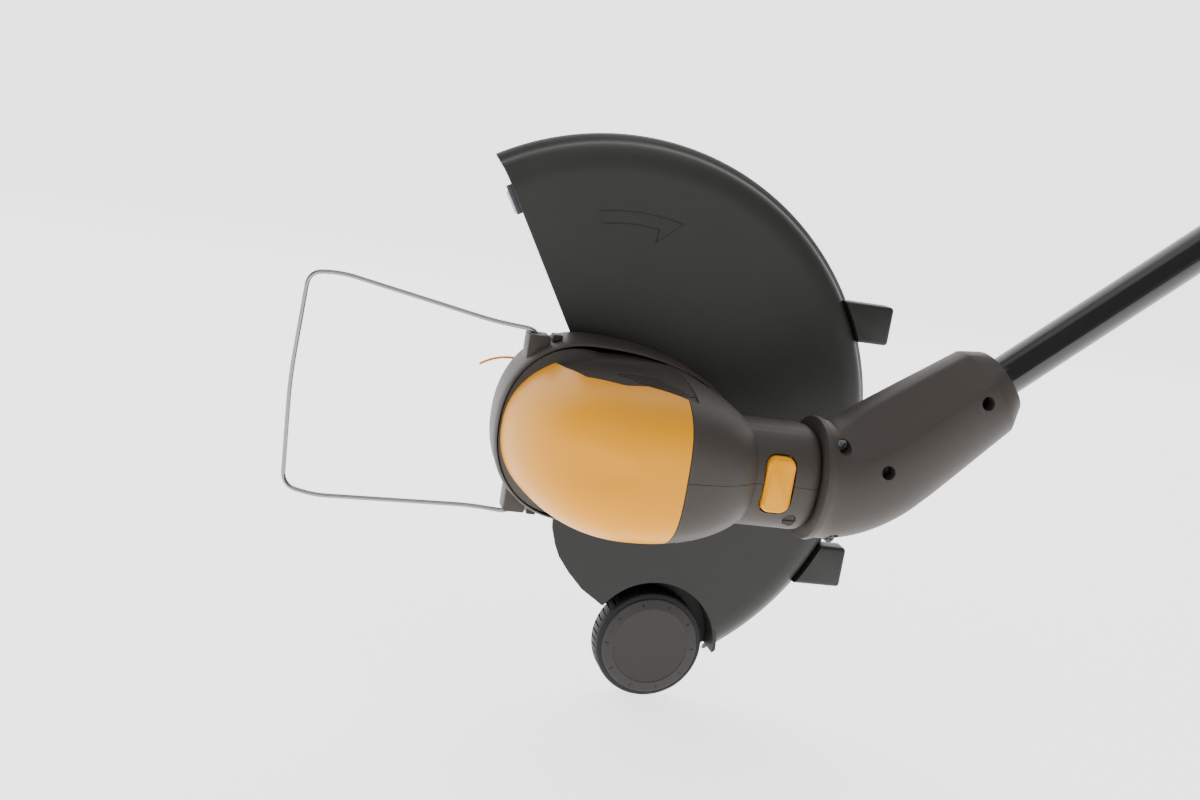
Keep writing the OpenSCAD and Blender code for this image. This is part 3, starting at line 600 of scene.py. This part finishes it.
class BuildGuard(TrimmerOperator, bpy.types.Operator):
    """The dished guard with its wheel arch and feet, and the arrow's thin raised outline"""
    bl_idname = "trimmer.guard"
    bl_label = "Guard"

    def build(self):
        wall = sizes().wall / MM
        bend = sizes().shoulder / MM
        radius = GUARD_HIGH.z
        fall = TOP_Z - RIM_Z - 8

        def side(inset):
            points = [(radius - inset, RIM_Z), (radius - 1.2 - inset, RIM_Z + 5),
                      (radius - 3.6 - inset, RIM_Z + 7.2)]
            for k in range(9):
                t = math.radians(4 + 86 * k / 8)
                points.append((radius - 5 - bend + (bend - inset) * math.cos(t),
                               TOP_Z - fall + (fall - inset) * math.sin(t)))
            return points
        mouth = 51
        shell = revolve(side(0) + [(mouth, TOP_Z), (mouth, TOP_Z - wall)] + side(wall)[::-1], 220)
        # the guard's sector: its front edge, then round the back to the wheel and the curved inner edge
        outline = [polar(reach, a, 0).xy for reach, a in ((30, 121), (300, 120.6))]
        outline += [(0, 300), (300, 300), (300, -300), (WHEEL.x, -300), (WHEEL.x, WHEEL.z),
                    (13, -124), (2, -117), (-9, -106), (-17, -96), (-21, -88), (-25, -76), (-26, -64),
                    (-26, 0)]
        sector = prism(outline, RIM_Z - 20, TOP_Z + 20)

        def kept(piece):
            """The part of a piece that lies in the sector and inside the guard's wall."""
            piece = combine(piece, sector.copy(), "INTERSECT")
            return combine(piece, drum((0, 0, 0), (0, 0, 99), radius - 4, 128), "INTERSECT")
        fan = combine(sector.copy(), drum((0, 0, 0), (0, 0, 99), 59, 96), "UNION")
        shell = combine(shell, fan, "INTERSECT")
        hub = (WHEEL.x, WHEEL.z)
        arch = WHEEL_R + 8
        plate_low = RIM_Z - 3
        shell = combine(shell, drum((*hub, 0), (*hub, 99), arch, 96))
        well = kept(revolve([(arch - 0.05, plate_low), (arch + wall, plate_low), (arch + wall, TOP_Z - 1),
                             (arch - 0.05, TOP_Z - 0.2)], 96, (*hub, 0)))
        plate = kept(drum((*hub, plate_low), (*hub, RIM_Z), arch + 1, 96))
        sector.free()
        plate = combine(plate, drum((*hub, plate_low), (*hub, RIM_Z), 24, 64), "UNION")
        plate = combine(plate, drum((*hub, 0), (*hub, 99), 3.1, 32))
        feet = []
        for low, high in ((76, 103), (-100, -71)):
            foot = block((150, low, RIM_Z + 2), (190, high, RIM_Z + 18))
            bmesh.ops.bevel(foot, geom=list(foot.edges), offset=2.6, segments=3, profile=0.5,
                            affect="EDGES", material=-1)
            feet.append(combine(foot, drum((0, 0, 0), (0, 0, 99), radius - 5, 160)))
        show("guard_moulding", join(shell, well, plate, *feet), HEAD, "head", "guard_plastic",
             ("guard",), 0.4 * MM)
        # the arrow's outer arc, its head, and back along its inner arc
        arrow = [polar(141, 101.2 - 23.4 * k / 10, TOP_Z) for k in range(11)]
        arrow += [polar(123.7, 84, TOP_Z), polar(133, 84, TOP_Z)]
        arrow += [polar(133, 84 + 16.8 * k / 8, TOP_Z) for k in range(1, 9)]
        show("guard_arrow", sweep(arrow, 0.45, 8, True), HEAD, "head", "guard_plastic")


class BuildBaseRing(TrimmerOperator, bpy.types.Operator):
    """The base ring with its lugs and the clips of the plant guard"""
    bl_idname = "trimmer.base_ring"
    bl_label = "Base ring"

    def build(self):
        levels = [(1.6, TOP_Z + 0.05), (0.4, TOP_Z + 1.4), (0, TOP_Z + 4), (0, RING_TOP - 9),
                  (0.3, RING_TOP - 5), (1.2, RING_TOP - 1.6), (1.9, RING_TOP - 0.4), (2.3, RING_TOP - 0.2),
                  (2.6, RING_TOP - 0.6), (2.7, RING_TOP - 3), (3.6, TOP_Z + 3)]
        ring = loft([egg(inset, z) for inset, z in levels])
        ring = combine(ring, drum((0, 0, TOP_Z - 5), (0, 0, TOP_Z + 9), 22, 64))
        inside = loft([egg(1.6, z) for z in (TOP_Z, RING_TOP + 9)])
        lugs = []
        height = -PIVOT.y
        for side in (-1, 1):
            outer = LUG_OUT * side
            lug = block((PIVOT.x - 7, min(outer, outer - side * 19), height - 10),
                        (PIVOT.x + 7, max(outer, outer - side * 19), height + 8))
            bmesh.ops.bevel(lug, geom=list(lug.edges), offset=1.2, segments=2, profile=0.5,
                            affect="EDGES", material=-1)
            lugs.append(lug)
        pair = combine(join(*lugs), inside)
        pin_hole = drum((PIVOT.x, -70, height), (PIVOT.x, 70, height), 1.6, 24)
        whole = combine(combine(ring, pair, "UNION"), pin_hole)
        show("base_ring_moulding", whole, HEAD, "head", "dark_plastic", ("base_ring",), 0.3 * MM)
        softened("guard_clips", "head", "black_plastic", 0.6)


class BuildHousing(TrimmerOperator, bpy.types.Operator):
    """The motor housing's two shells with the neck, louvres and button well"""
    bl_idname = "trimmer.housing"
    bl_label = "Motor housing"

    def build(self):
        seam = sizes().seam / MM
        outer = combine(dome(0), side_prism(cover_outline(seam)))
        for side in (-1, 1):
            outer = combine(outer, scoop(side, lift=6))
        core = combine(dome(5.2), block((-200, -200, 0), (200, 200, RING_TOP - 8)))
        core = combine(core, block((SEAM_X - 1, -200, 0), (200, 200, 300)))
        body = combine(outer, core, "UNION")
        body = combine(body, block((-200, -200, 0), (200, 200, RING_TOP - 6)))
        body = combine(body, self.skirt(), "UNION")
        neck_levels = [(20, NECK_R), (98, NECK_R), (102, NECK_R - 0.6), (105, NECK_R - 2.4),
                       (105.9, NECK_R - 4), (106.1, SPIGOT_R), (114.2, SPIGOT_R), (114.25, FLANGE_R),
                       (118.1, FLANGE_R)]
        rings = []
        for x, r in neck_levels:
            # squarish along the neck, and truly round where the elbow turns on it
            square = 0.9 if x < 106 else 1.0
            rings.append([Vector((x, r * power(math.cos(t), square), NECK_Z + r * power(math.sin(t), square)))
                          for t in (2 * math.pi * k / 96 for k in range(96))])
        body = combine(body, loft(rings), "UNION")
        hollow = combine(dome(16), block((46, -200, 0), (300, 200, 300)))
        body = combine(body, hollow)
        body = combine(body, loft([egg(12.8, z) for z in (TOP_Z, RING_TOP - 7)]))
        body = combine(body, drum((0, 0, TOP_Z), (0, 0, RING_TOP + 10), 43, 64))
        body = combine(body, drum((40, 0, NECK_Z), (150, 0, NECK_Z), 14, 32))
        body = combine(body, self.button_block(1.1, NECK_Z + 18, NECK_Z + 50))
        body = combine(body, block((BUTTON_X - 12.3, -17.3, NECK_Z + 15),
                                   (BUTTON_X + 12.3, 17.3, NECK_Z + 24.5)))
        peg = (92, -22)
        body = combine(body, drum((*peg, NECK_Z + 20), (*peg, NECK_Z + 40), 4.1, 32))
        slots = []
        for k in range(9):
            for side in (-1, 1):
                low = Vector((-18 + 2.4 * k, side * 48 - 13, RING_TOP + 34 + 3.9 * k))
                slots.append(block(low, low + Vector((26 - 0.6 * k, 26, 1.3))))
        body = combine(body, join(*slots))
        other = body.copy()
        half = seam / 4
        left = combine(body, block((-300, half, -10), (300, 300, 400)), "INTERSECT")
        right = combine(other, block((-300, -300, -10), (300, -half, 400)), "INTERSECT")
        show("housing_left_shell", left, HEAD, "head", "dark_plastic", ("housing_left",), 0.25 * MM, 40)
        show("housing_right_shell", right, HEAD, "head", "dark_plastic", ("housing_right",), 0.25 * MM, 40)

    @staticmethod
    def skirt():
        """Slopes from the ring's inner wall to the cover's foot, low along the rear flanks."""
        rings = []
        for inset, z, fall in ((6, TOP_Z + 7, 0), (6, RING_TOP - 16, 0), (2.9, RING_TOP - 3, 1),
                               (3.2, RING_TOP - 0.4, 1), (9, RING_TOP + 3.4, 1), (20, RING_TOP + 8, 1),
                               (30, RING_TOP + 9, 1)):
            ring = []
            for point in egg(0, z):
                out = Vector((point.x - RING_X, point.y))
                rear = max(0.0, math.cos(math.atan2(abs(out.y), out.x) - math.radians(62))) ** 6
                draw = inset + (5 * rear if fall else 2)
                point.xy = Vector((RING_X, 0)) + out * (1 - draw / out.length)
                point.z -= 5 * rear * fall
                ring.append(point)
            rings.append(ring)
        return loft(rings)

    @staticmethod
    def button_block(grow, low, high):
        outline = []
        for x, y, start in ((3, 11.5, 0), (-3, 11.5, 90), (-3, -11.5, 180), (3, -11.5, 270)):
            outline += [Vector((BUTTON_X + 1 + x, y)) + polar(5.8 + grow, start + 15 * k, 0).xy
                        for k in range(7)]
        return prism(outline, low, high)


class BuildCover(TrimmerOperator, bpy.types.Operator):
    """The coloured motor cover"""
    bl_idname = "trimmer.cover"
    bl_label = "Motor cover"

    def build(self):
        shell = combine(dome(0), dome(5))
        cover = combine(shell, side_prism(cover_outline(0)), "INTERSECT")
        for side in (-1, 1):
            cover = combine(cover, scoop(side, lift=6))
        show("motor_cover", cover, HEAD, "head", "yellow_plastic", ("top_cover",), sizes().edge, 40, 3)


class BuildNeckLock(TrimmerOperator, bpy.types.Operator):
    """The swivel's release button and the slotted peg beside it"""
    bl_idname = "trimmer.neck_lock"
    bl_label = "Neck lock"

    def build(self):
        low, high = limits("release_button")
        top = -low.y
        cap = BuildHousing.button_block(0, -high.y + 1.3, top)
        for vert in cap.verts:
            if vert.co.z > top - 0.1:
                vert.co.z -= 0.012 * vert.co.y ** 2
        edges = [e for e in cap.edges if min(v.co.z for v in e.verts) > NECK_Z + 28]
        bmesh.ops.bevel(cap, geom=edges, offset=1.6, segments=4, profile=0.5, affect="EDGES", material=-1)
        flange = block((BUTTON_X - 12, -17, -high.y), (BUTTON_X + 12, 17, -high.y + 2))
        show("release_button_cap", join(cap, flange), HEAD, "release_button", "yellow_plastic",
             ("release_button",))
        softened("neck_peg", "head", "dark_plastic", 0.4)


class BuildWheel(TrimmerOperator, bpy.types.Operator):
    """The edging wheel: hub, treaded tyre and ticked cap"""
    bl_idname = "trimmer.wheel"
    bl_label = "Edging wheel"

    def build(self):
        centre = Vector((WHEEL.x, WHEEL.z, 0))
        low = RIM_Z + 2
        width = WHEEL_TOP - low
        r = WHEEL_R
        tyre = [(r - 6, low), (r - 2.6, low), (r - 0.9, low + 0.9), (r, low + 2.8), (r, low + width - 2.8),
                (r - 0.9, low + width - 0.9), (r - 2.6, low + width), (r - 6, low + width)]
        ring = revolve(tyre, 144)
        tread = [f for f in ring.faces if f.calc_center_median().xy.length > r - 0.3]
        tread.sort(key=lambda f: math.atan2(*f.calc_center_median().yx))
        cut = [f for i, f in enumerate(tread) if i % 3 == 0]
        bmesh.ops.inset_individual(ring, faces=cut, thickness=0.35, depth=0)
        for face in cut:
            out = face.calc_center_median()
            out.z = 0
            bmesh.ops.translate(ring, vec=-out.normalized() * 0.9, verts=face.verts)
        ring.transform(Matrix.Translation(centre))
        show("tyre", ring, HEAD, "wheel", "tyre_rubber", ("wheel_tyre",), 0, 30)
        cap = [(0, WHEEL_TOP), (r - 6, WHEEL_TOP), (r - 4.4, WHEEL_TOP + 0.05), (r - 4.0, WHEEL_TOP + 0.6),
               (r - 4.6, WHEEL_TOP + 1.2), (r - 10.6, WHEEL_TOP + 2.7), (r - 11.2, WHEEL_TOP + 2.8),
               (r - 11.6, WHEEL_TOP + 2.5), (0, WHEEL_TOP + 2.5)]
        disc = revolve(cap, 120, centre)
        ticks = []
        for k in range(10):
            tick = block((r - 8.6, -0.4, WHEEL_TOP + 1.3), (r - 5.4, 0.4, WHEEL_TOP + 4))
            tick.transform(Matrix.Translation(centre) @ Matrix.Rotation(math.radians(36 * k), 4, "Z"))
            ticks.append(tick)
        disc = combine(disc, join(*ticks))
        show("wheel_cap_disc", disc, HEAD, "wheel", "hub_plastic", ("wheel_cap",), 0, 28)
        softened("wheel_hub", "wheel", "hub_plastic")
        softened("wheel_axle", "head", "steel", 0.3)


class BuildPlantGuard(TrimmerOperator, bpy.types.Operator):
    """The sprung wire loop that keeps the line off plants"""
    bl_idname = "trimmer.plant_guard"
    bl_label = "Plant guard"

    def build(self):
        x, z = PIVOT.x, -PIVOT.y
        y = LUG_OUT + 2.1
        end = limits("plant_guard")[0].x + 1.5
        leg = [(x, y - 18, z), (x, y, z), (x - 26, y + 0.5, z - 9), (end + 24, y + 14, z - 44),
               (end + 3.5, y + 11.5, z - 51), (end, 0, z - 52)]
        mirrored = [(px, -py, pz) for px, py, pz in leg[-2::-1]]
        path = rounded(leg + mirrored, 17, 8)
        show("plant_guard_wire", sweep(path, sizes().wire / MM / 2, 16), HEAD, "plant_guard",
             "bright_wire", ("plant_guard",), 0, 60)


class BuildLine(TrimmerOperator, bpy.types.Operator):
    """The free end of the cutting line"""
    bl_idname = "trimmer.line"
    bl_label = "Cutting line"

    def build(self):
        start = polar(32, LINE_BEARING, RIM_Z + 3.5)
        out = polar(1, LINE_BEARING, 0)
        turn = Matrix.Rotation(math.radians(LINE_BEARING), 3, "Z")
        curl = 36
        path = []
        for k in range(25):
            t = math.radians(66 * k / 24)
            path.append(start + out * 24 + turn @ Vector((curl * math.sin(t), curl - curl * math.cos(t), 0)))
        path = [start] + path
        show("line_tail", sweep(path, sizes().line / MM / 2, 10), HEAD, "spindle", "orange_line",
             ("cutting_line",), 0, 60)


class BuildElbow(TrimmerOperator, bpy.types.Operator):
    """The elbow's two shells, bevelled along the top, with screw wells"""
    bl_idname = "trimmer.elbow"
    bl_label = "Elbow"

    def build(self):
        turn = Matrix.Rotation(BOOM_ANGLE, 3, "Y")
        bend = 25
        start = turn @ Vector((-bend, 0, 0))

        def section(r, flat):
            """A round section with a flat along each upper shoulder."""
            points = []
            for k in range(120):
                t = 2 * math.pi * k / 120
                reach = r
                for middle in (48, 132):
                    near = math.cos(t - math.radians(middle))
                    if near > 0.5:
                        reach = min(reach, r * (1 - flat) / near)
                points.append(Vector((0, power(math.cos(t), 0.95) * reach, power(math.sin(t), 0.95) * reach)))
            return points
        mouth = ((-1.8, 37.2, 0), (-1.0, 38.2, 0), (1.5, 38.5, 0), (3.5, 37.9, 0), (6, 36.8, 0.01))
        rings = [[start + turn @ (Vector((s, 0, 0)) + p) for p in section(r, flat)] for s, r, flat in mouth]
        for k in range(1, 16):
            t = k / 15
            pull = 8 * (1 - t)
            centre = (start + turn @ Vector((pull, 0, 0))) * (1 - t) ** 2 + Vector((bend * t * t, 0, 0))
            lean = Matrix.Rotation(BOOM_ANGLE * (1 - t) ** 1.15, 3, "Y")
            around = section(36.8 + 0.3 * math.sin(math.pi * t), 0.01 + 0.09 * t)
            rings.append([centre + lean @ p for p in around])
        for s, r, flat in ((40, 36, 0.11), (60, 34.2, 0.11), (85, 31.8, 0.11), (104.6, 30, 0.11),
                           (106.4, 29, 0.1), (117, 21.8, 0.04), (118, 20.6, 0)):
            rings.append([Vector((s, 0, 0)) + p for p in section(r, flat)])
        body = loft(rings)
        turn_back = Matrix.Rotation(BOOM_ANGLE, 4, "Y")
        room = drum((-10, 0, 0), (-30, 0, 0), SPIGOT_R + 0.15, 64)
        groove = drum((-20, 0, 0), (-15.7, 0, 0), FLANGE_R + 0.2, 64)
        chamber = drum((-13.5, 0, 0), (4, 0, 0), 29, 64)
        for hole in (room, groove, chamber):
            hole.transform(turn_back)
            body = combine(body, hole)
        body = combine(body, drum((0, 0, 0), (40, 0, 0), 27, 48, 14))
        body = combine(body, drum((36, 0, 0), (200, 0, 0), TUBE_R + 0.25, 64))
        for x, z, depth in ((5.5, 30, -18.5), (19, 5, -25), (95, 4.4, -17), (-28, -20, -11)):
            body = combine(body, drum((x, -60, z), (x, depth, z), 4.3, 32))
        other = body.copy()
        edge = sizes().edge
        near = combine(body, block((-99, -99, -99), (300, -0.02, 200)), "INTERSECT")
        far = combine(other, block((-99, 0.02, -99), (300, 99, 200)), "INTERSECT")
        show("elbow_near_shell", near, BOOM, "lower_boom", "dark_plastic", ("elbow_left",), edge, 40)
        show("elbow_far_shell", far, BOOM, "lower_boom", "dark_plastic", ("elbow_right",), edge, 40)
        # the screws take the dark steel so that their wells look shadowed: painted shade in the screws' colour
        softened("elbow_screws", "lower_boom", "dark_steel", 0.2)


class BuildTubes(TrimmerOperator, bpy.types.Operator):
    """The grooved lower tube and the plain upper tube"""
    bl_idname = "trimmer.tubes"
    bl_label = "Boom tubes"

    def build(self):
        start, end = TUBE_START, TUBE_START + TUBE_LENGTH

        def section(x, radius, deep):
            ring = []
            for k in range(180):
                a = 2 * k
                near = min(abs((a - g + 180) % 360 - 180) for g in (24, 156, 270))
                lowered = min(1.0, max(0.0, (21 - near) / 2)) * deep
                flat = (radius - 1.3) / max(0.5, math.cos(math.radians(near)))
                r = radius * (1 - lowered) + flat * lowered
                ring.append(Vector((x, 0, 0)) + Matrix.Rotation(math.radians(a), 3, "X") @ Vector((0, r, 0)))
            return ring
        skins = [(start, TUBE_R - 0.6, 0), (start + 0.6, TUBE_R, 0), (start + 84, TUBE_R, 0),
                 (start + 86, TUBE_R, 1), (end - 1, TUBE_R, 1), (end, TUBE_R - 0.6, 1)]
        outer = loft([section(x, r, g) for x, r, g in skins])
        tube = combine(outer, drum((start - 5, 0, 0), (end + 5, 0, 0), TUBE_R - 2.4, 64))
        show("lower_tube_grooved", tube, BOOM, "lower_boom", "black_tube", ("lower_tube",), 0, 30)
        softened("upper_tube", "handle", "black_tube", 0.3)


class BuildBoomFittings(TrimmerOperator, bpy.types.Operator):
    """Clamp, strap eye and front handle on the upper tube"""
    bl_idname = "trimmer.boom_fittings"
    bl_label = "Boom fittings"

    def build(self):
        for node, slot, edge in (("clamp_collar", "black_plastic", 1.2), ("lever_pin", "steel", 0.3),
                                 ("front_mount", "black_plastic", 1.0), ("strap_eye", "steel", 0.5)):
            softened(node, "handle", slot, edge)
        softened("front_bolt", "handle", "steel", 0.3, 30, 0.15)
        softened("clamp_lever", "clamp_lever", "yellow_plastic", 0.9)
        softened("front_knob", "front_knob", "black_plastic", 1.0)
        softened("front_handle", "front_handle", "grip_rubber", 0.8)


class BuildRearHandle(TrimmerOperator, bpy.types.Operator):
    """The rear handle with its grip, trigger, lock button and inlet"""
    bl_idname = "trimmer.rear_handle"
    bl_label = "Rear handle"

    def build(self):
        for node in ("handle_left", "handle_right"):
            softened(node, "handle", "dark_plastic", 2.2, 40)
        for node, slot, edge in (("handle_screws", "steel", 0.2), ("grip_pad", "grip_rubber", 0.5),
                                 ("power_inlet", "black_plastic", 0.5)):
            softened(node, "handle", slot, edge)
        softened("trigger", "trigger", "yellow_plastic", 1.4)
        softened("lock_button", "lock_button", "yellow_plastic", 1.0)


class BuildSpoolHead(TrimmerOperator, bpy.types.Operator):
    """Spool housing, cap, bump knob, eyelets and the line cutter"""
    bl_idname = "trimmer.spool_head"
    bl_label = "Spool head"

    def build(self):
        for node in ("spool_housing", "spool_cap"):
            softened(node, "spindle", "black_plastic", 0.6)
        softened("line_eyelets", "spindle", "steel", 0.2)
        softened("bump_knob", "bump_knob", "black_plastic", 1.0)
        softened("line_cutter", "head", "dark_steel", 0.3)
        for node in ("guard_screws", "cutter_screws"):
            softened(node, "head", "steel", 0.2)


class BuildStage(TrimmerOperator, bpy.types.Operator):
    """Pale floor, soft studio light and the camera"""
    bl_idname = "trimmer.stage"
    bl_label = "Stage"

    def build(self):
        self.floor()
        self.light("key", (-1.3, -1.5, 1.5), 1.5, 13)
        self.light("top", (0.3, -0.4, 2.2), 1.8, 12)
        self.light("fill", (1.8, -1.7, 0.4), 1.6, 1.5)
        world = bpy.data.worlds.new("studio")
        world.use_nodes = True
        world.node_tree.nodes["Background"].inputs["Color"].default_value = (1, 1, 1, 1)
        world.node_tree.nodes["Background"].inputs["Strength"].default_value = 0.34
        bpy.context.scene.world = world
        self.camera()

    def floor(self):
        bm = bmesh.new()
        bmesh.ops.create_grid(bm, x_segments=2, y_segments=90, size=8)
        bmesh.ops.translate(bm, vec=(0, 0, CAD_BOX[0][2] - 0.002), verts=bm.verts)
        for vert in bm.verts:
            vert.co.z += 0.9 * max(0.0, vert.co.y - 2.4) ** 2
        mesh = bpy.data.meshes.new("floor")
        bm.to_mesh(mesh)
        bm.free()
        floor = bpy.data.objects.new("floor", mesh)
        bpy.context.scene.collection.objects.link(floor)
        material, tree = start_material("pale_floor")
        place = add(tree, "ShaderNodeTexCoord").outputs["Object"]
        cloud = add(tree, "ShaderNodeTexNoise", {"Scale": 1.5}, {"Vector": place})
        rough = add(tree, "ShaderNodeMapRange", {"To Min": 0.85, "To Max": 0.95},
                    {"Value": cloud.outputs[0]})
        # a light table: the floor and the curved wall behind glow softly
        finish_material(tree, {"Base Color": tuple(colours().floor), "Emission Color": tuple(colours().floor),
                               "Emission Strength": 1.9}, {"Roughness": rough.outputs[0]})
        mesh.polygons.foreach_set("use_smooth", [True] * len(mesh.polygons))
        mesh.materials.append(material)

    @staticmethod
    def light(name, where, size, power_w):
        lamp = bpy.data.lights.new(name, "AREA")
        lamp.size = size
        lamp.energy = power_w
        obj = bpy.data.objects.new(name, lamp)
        aim = (Vector((0.05, -0.1, 0)) - Vector(where)).to_track_quat("-Z", "Y").to_matrix().to_4x4()
        obj.matrix_world = Matrix.Translation(where) @ aim
        bpy.context.scene.collection.objects.link(obj)

    @staticmethod
    def camera():
        azimuth, elevation, roll = (math.radians(a) for a in CAMERA_ANGLES)
        back = Vector((math.sin(azimuth) * math.cos(elevation), -math.cos(azimuth) * math.cos(elevation),
                       math.sin(elevation)))
        right = Vector((math.cos(azimuth), math.sin(azimuth), 0))
        up = back.cross(right)
        turned_right = right * math.cos(roll) + up * math.sin(roll)
        turned_up = up * math.cos(roll) - right * math.sin(roll)
        lens = bpy.data.cameras.new("camera")
        lens.sensor_width = 36
        lens.lens = CAMERA_LENS
        lens.clip_start = 0.05
        obj = bpy.data.objects.new("camera", lens)
        turn = Matrix((turned_right, turned_up, back)).transposed().to_4x4()
        obj.matrix_world = Matrix.Translation(CAMERA_PLACE) @ turn
        bpy.context.scene.collection.objects.link(obj)
        bpy.context.scene.camera = obj


CLASSES = [TrimmerSizes, TrimmerColours, BuildFinishes, BuildGuard, BuildBaseRing, BuildHousing, BuildCover,
           BuildNeckLock, BuildWheel, BuildPlantGuard, BuildLine, BuildElbow, BuildTubes, BuildBoomFittings,
           BuildRearHandle, BuildSpoolHead, BuildStage]
OPERATORS = [c for c in CLASSES if issubclass(c, bpy.types.Operator)]


class TrimmerPanel(bpy.types.Panel):
    """Sizes, colours and the steps that build the trimmer"""
    bl_idname = "VIEW3D_PT_trimmer"
    bl_label = "String trimmer"
    bl_space_type = "VIEW_3D"
    bl_region_type = "UI"
    bl_category = "Trimmer"

    def draw(self, context):
        for group in (context.scene.trimmer_sizes, context.scene.trimmer_colours):
            for key in group.__annotations__:
                self.layout.prop(group, key)
        for operator in OPERATORS:
            self.layout.operator(operator.bl_idname)


def register():
    for cls in CLASSES + [TrimmerPanel]:
        bpy.utils.register_class(cls)
    bpy.types.Scene.trimmer_sizes = bpy.props.PointerProperty(type=TrimmerSizes)
    bpy.types.Scene.trimmer_colours = bpy.props.PointerProperty(type=TrimmerColours)


def unregister():
    del bpy.types.Scene.trimmer_colours
    del bpy.types.Scene.trimmer_sizes
    for cls in reversed(CLASSES + [TrimmerPanel]):
        bpy.utils.unregister_class(cls)


def main():
    register()
    for operator in OPERATORS:
        group, name = operator.bl_idname.split(".")
        getattr(getattr(bpy.ops, group), name)()
    bpy.context.view_layer.update()


if __name__ == "__main__":
    main()
